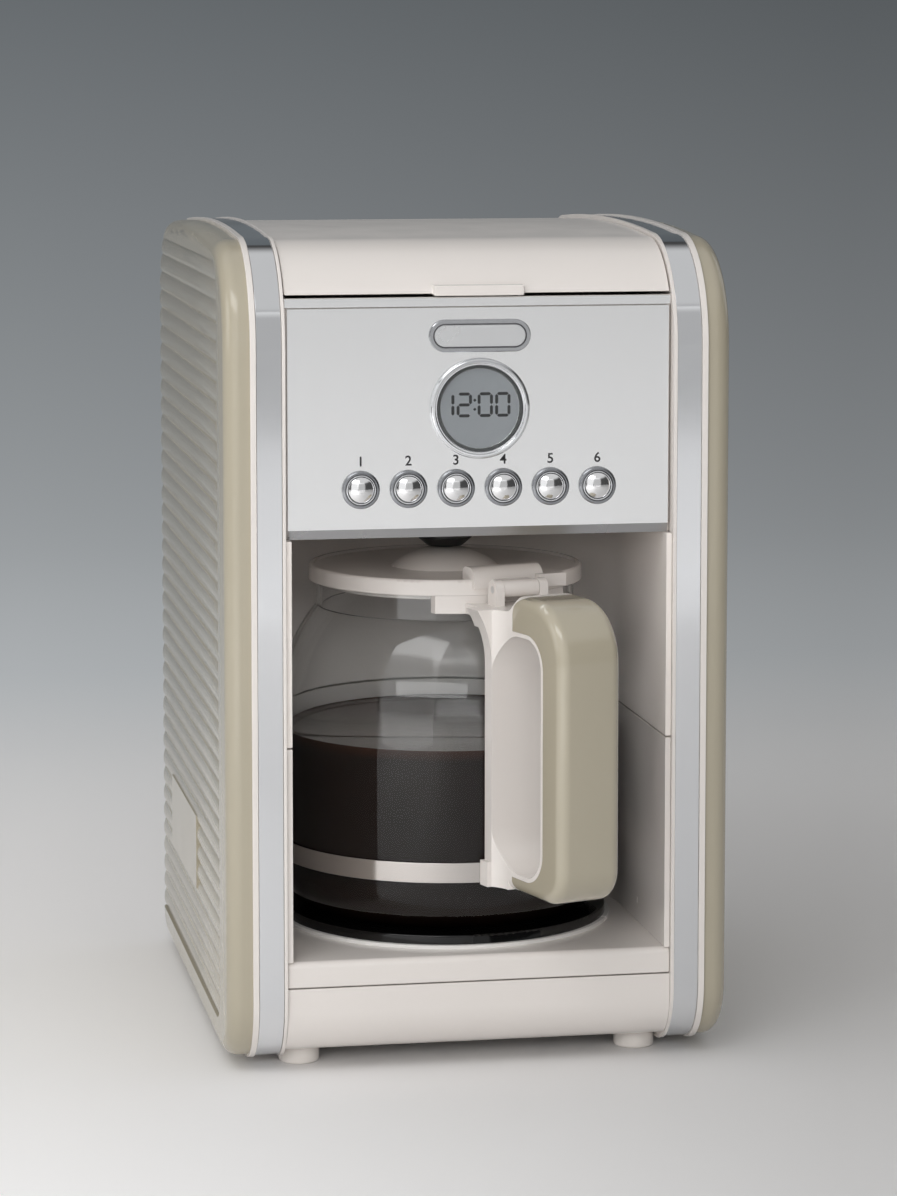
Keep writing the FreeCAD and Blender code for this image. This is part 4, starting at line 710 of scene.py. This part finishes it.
# Filter weave
# Fine steel wires run up and round the inside of the filter's cup, as the mesh that holds the grounds.
# They follow the cup's taper and are joined to it, so they lift out with the basket.
CUP_WALL = 0.0008
CUP_FLANGE = 0.005
CUP_TAPER = 0.011
WIRE_SIDES = 5
cup_low, cup_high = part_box("mesh_filter")
cup_y = (cup_low[1] + cup_high[1]) / 2
cup_depth = cup_high[2] - cup_low[2] - CUP_WALL
weave_depth = cup_depth - CUP_WALL
cup_base = (cup_high[0] - cup_low[0]) / 2 - CUP_FLANGE - CUP_WALL - CUP_TAPER
WEAVE_SIZES = {
    "Base radius": cup_base,
    "Top radius": cup_base + CUP_TAPER * weave_depth / cup_depth,
    "Depth": weave_depth,
    "Wire": 0.00018,
    "Uprights": 96,
    "Rings": 22,
}
weave = bpy.data.node_groups.new("filter_weave", "GeometryNodeTree")
for name, size in WEAVE_SIZES.items():
    kind = "NodeSocketInt" if isinstance(size, int) else "NodeSocketFloat"
    weave.interface.new_socket(name, in_out="INPUT", socket_type=kind)
weave.interface.new_socket("Geometry", in_out="OUTPUT", socket_type="NodeSocketGeometry")
given = weave.nodes.new("NodeGroupInput").outputs
cup = wire(weave, "GeometryNodeMeshCone", {
    "Vertices": given["Uprights"], "Side Segments": given["Rings"], "Radius Top": given["Top radius"],
    "Radius Bottom": given["Base radius"], "Depth": given["Depth"]}, fill_type="NONE")
threads = wire(weave, "GeometryNodeMeshToCurve", {"Mesh": cup.outputs["Mesh"]})
section = wire(weave, "GeometryNodeCurvePrimitiveCircle", {
    "Resolution": WIRE_SIDES, "Radius": given["Wire"]})
wires = wire(weave, "GeometryNodeCurveToMesh", {
    "Curve": threads.outputs["Curve"], "Profile Curve": section.outputs["Curve"], "Fill Caps": True})
whole = wire(weave, "GeometryNodeRealizeInstances", {"Geometry": wires.outputs["Mesh"]})
dressed = wire(weave, "GeometryNodeSetMaterial", {
    "Geometry": whole.outputs["Geometry"], "Material": mesh_steel})
wire(weave, "NodeGroupOutput", {"Geometry": dressed.outputs["Geometry"]})
lining = placed("filter_weave", bpy.data.meshes.new("filter_weave_start"))
woven = lining.modifiers.new("weave", "NODES")
woven.node_group = weave
for socket in weave.interface.items_tree:
    if socket.in_out == "INPUT":
        woven[socket.identifier] = WEAVE_SIZES[socket.name]
lining_mesh = bpy.data.meshes.new_from_object(lining.evaluated_get(bpy.context.evaluated_depsgraph_get()))
lining.modifiers.clear()
lowest = min(v.co.z for v in lining_mesh.vertices)
lining_mesh.transform(Matrix.Translation((0.0, cup_y, cup_low[2] + CUP_WALL - lowest)))
lining_mesh.shade_smooth()
lining.data = lining_mesh
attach(lining, "basket")

# Lid
# A cream lid with a curved front and a finger tab turns up on two pins at its rear corners
# and carries the spray plate under it.
moulded("lid", cream, edge=0.0005)
moulded("lid_hinge_pins", steel)
moulded("spray_plate", inner, edge=0.0003)

# Carafe
# A jug of clear blown glass stands on the warming plate.
# A smooth metal band is clamped round it below the middle and holds the foot of the handle.
glass = clear_glass("jug_glass", (0.985, 0.99, 0.99), 0.02, 1.46)
band_metal = metal("band_metal", (0.66, 0.62, 0.59), 0.14)
moulded("carafe_glass", glass)
moulded("carafe_band", band_metal, edge=0.0003)

# Coffee
# Black coffee fills the jug a little over half way and lies against the glass all round,
# with a thin brown rim where it wets the wall.
COFFEE_LEVEL = 0.138
COFFEE_CORNER = 0.0157
CORNER_STEPS = 8
COFFEE_STEPS = 96
COFFEE_JOIN = 1e-6
COFFEE_CREASE = 40.0
GLASS_WALL = 0.0024
WETTED = 0.0001
MENISCUS = (
    # in from the glass, and up from the level
    (0.0, 0.0008), (0.0004, 0.0003), (0.0016, 0.0),
)
RIM_BELOW = 0.004
BREW_DARK, BREW_PALE, BREW_RIM = (14, 7, 5), (22, 12, 8), (52, 30, 20)
jug_low, jug_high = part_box("carafe_glass")
jug_radius = (jug_high[0] - jug_low[0]) / 2
jug_y = (jug_high[1] + jug_low[1]) / 2
coffee_radius = jug_radius - GLASS_WALL + WETTED
coffee_floor = jug_low[2] + GLASS_WALL - WETTED


def brew(name, shine):
    """Black coffee with a slow swirl of brown, paler towards the rim of its surface."""
    material, tree, shader = nodes_of(name)
    place = own_place(tree)
    axes = wire(tree, "ShaderNodeSeparateXYZ", {0: place})
    rim = wire(tree, "ShaderNodeMapRange", {"Value": axes.outputs["Z"], "From Min": COFFEE_LEVEL - RIM_BELOW,
                                            "From Max": COFFEE_LEVEL + MENISCUS[0][1]})
    swirl = noise(tree, place, scale=30.0, detail=3.0)
    body = wire(tree, "ShaderNodeMix", {"Factor": swirl, "A": tone_of(BREW_DARK), "B": tone_of(BREW_PALE)},
                data_type="RGBA")
    tint = wire(tree, "ShaderNodeMix", {"Factor": rim.outputs[0], "A": body.outputs["Result"],
                                        "B": tone_of(BREW_RIM)}, data_type="RGBA")
    tree.links.new(tint.outputs["Result"], shader.inputs["Base Color"])
    ripple = wire(tree, "ShaderNodeMapRange", {"Value": swirl, "To Min": 0.01, "To Max": 0.03})
    tree.links.new(ripple.outputs[0], shader.inputs["Roughness"])
    shader.inputs["Specular IOR Level"].default_value = shine
    return material


coffee_line = [(0.0, coffee_floor)]
for step in range(CORNER_STEPS + 1):
    turn = math.pi / 2 * step / CORNER_STEPS
    coffee_line.append((coffee_radius - COFFEE_CORNER + COFFEE_CORNER * math.sin(turn),
                        coffee_floor + COFFEE_CORNER - COFFEE_CORNER * math.cos(turn)))
coffee_line += [(coffee_radius - inward, COFFEE_LEVEL + rise) for inward, rise in MENISCUS]
coffee_line.append((0.0, COFFEE_LEVEL))
work = bmesh.new()
line = [work.verts.new((r, jug_y, z)) for r, z in coffee_line]
edges = [work.edges.new(pair) for pair in zip(line, line[1:])]
bmesh.ops.spin(work, geom=line + edges, cent=(0.0, jug_y, 0.0), axis=(0.0, 0.0, 1.0), angle=2 * math.pi,
               steps=COFFEE_STEPS)
bmesh.ops.remove_doubles(work, verts=work.verts, dist=COFFEE_JOIN)
brews = (brew("brew_surface", 0.35), brew("brew_at_the_glass", 0.04))
coffee_mesh = finished("coffee", work, brews, COFFEE_CREASE)
for face in coffee_mesh.polygons:
    face.material_index = int(face.center.z < COFFEE_LEVEL - WETTED)
coffee = placed("coffee", coffee_mesh)
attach(coffee, "carafe")

# Carafe handle
# A cream moulded frame holds the jug by the band and the neck.
# A thick glossy taupe grip is clipped round its outside.
grip_gloss = plastic("grip_gloss", TAUPE, 0.12, coat=0.7, peel=0.03)
moulded("handle_frame", cream, edge=0.0005)
moulded("handle_cover", grip_gloss)

# Carafe lid
# The cream moulded lid has a raised rim, a dome with a drip hole, and a thumb pad.
# It turns on a steel pin in the handle.
moulded("carafe_lid", cream, edge=0.0004)
moulded("carafe_lid_pin", steel)

bpy.context.view_layer.update()
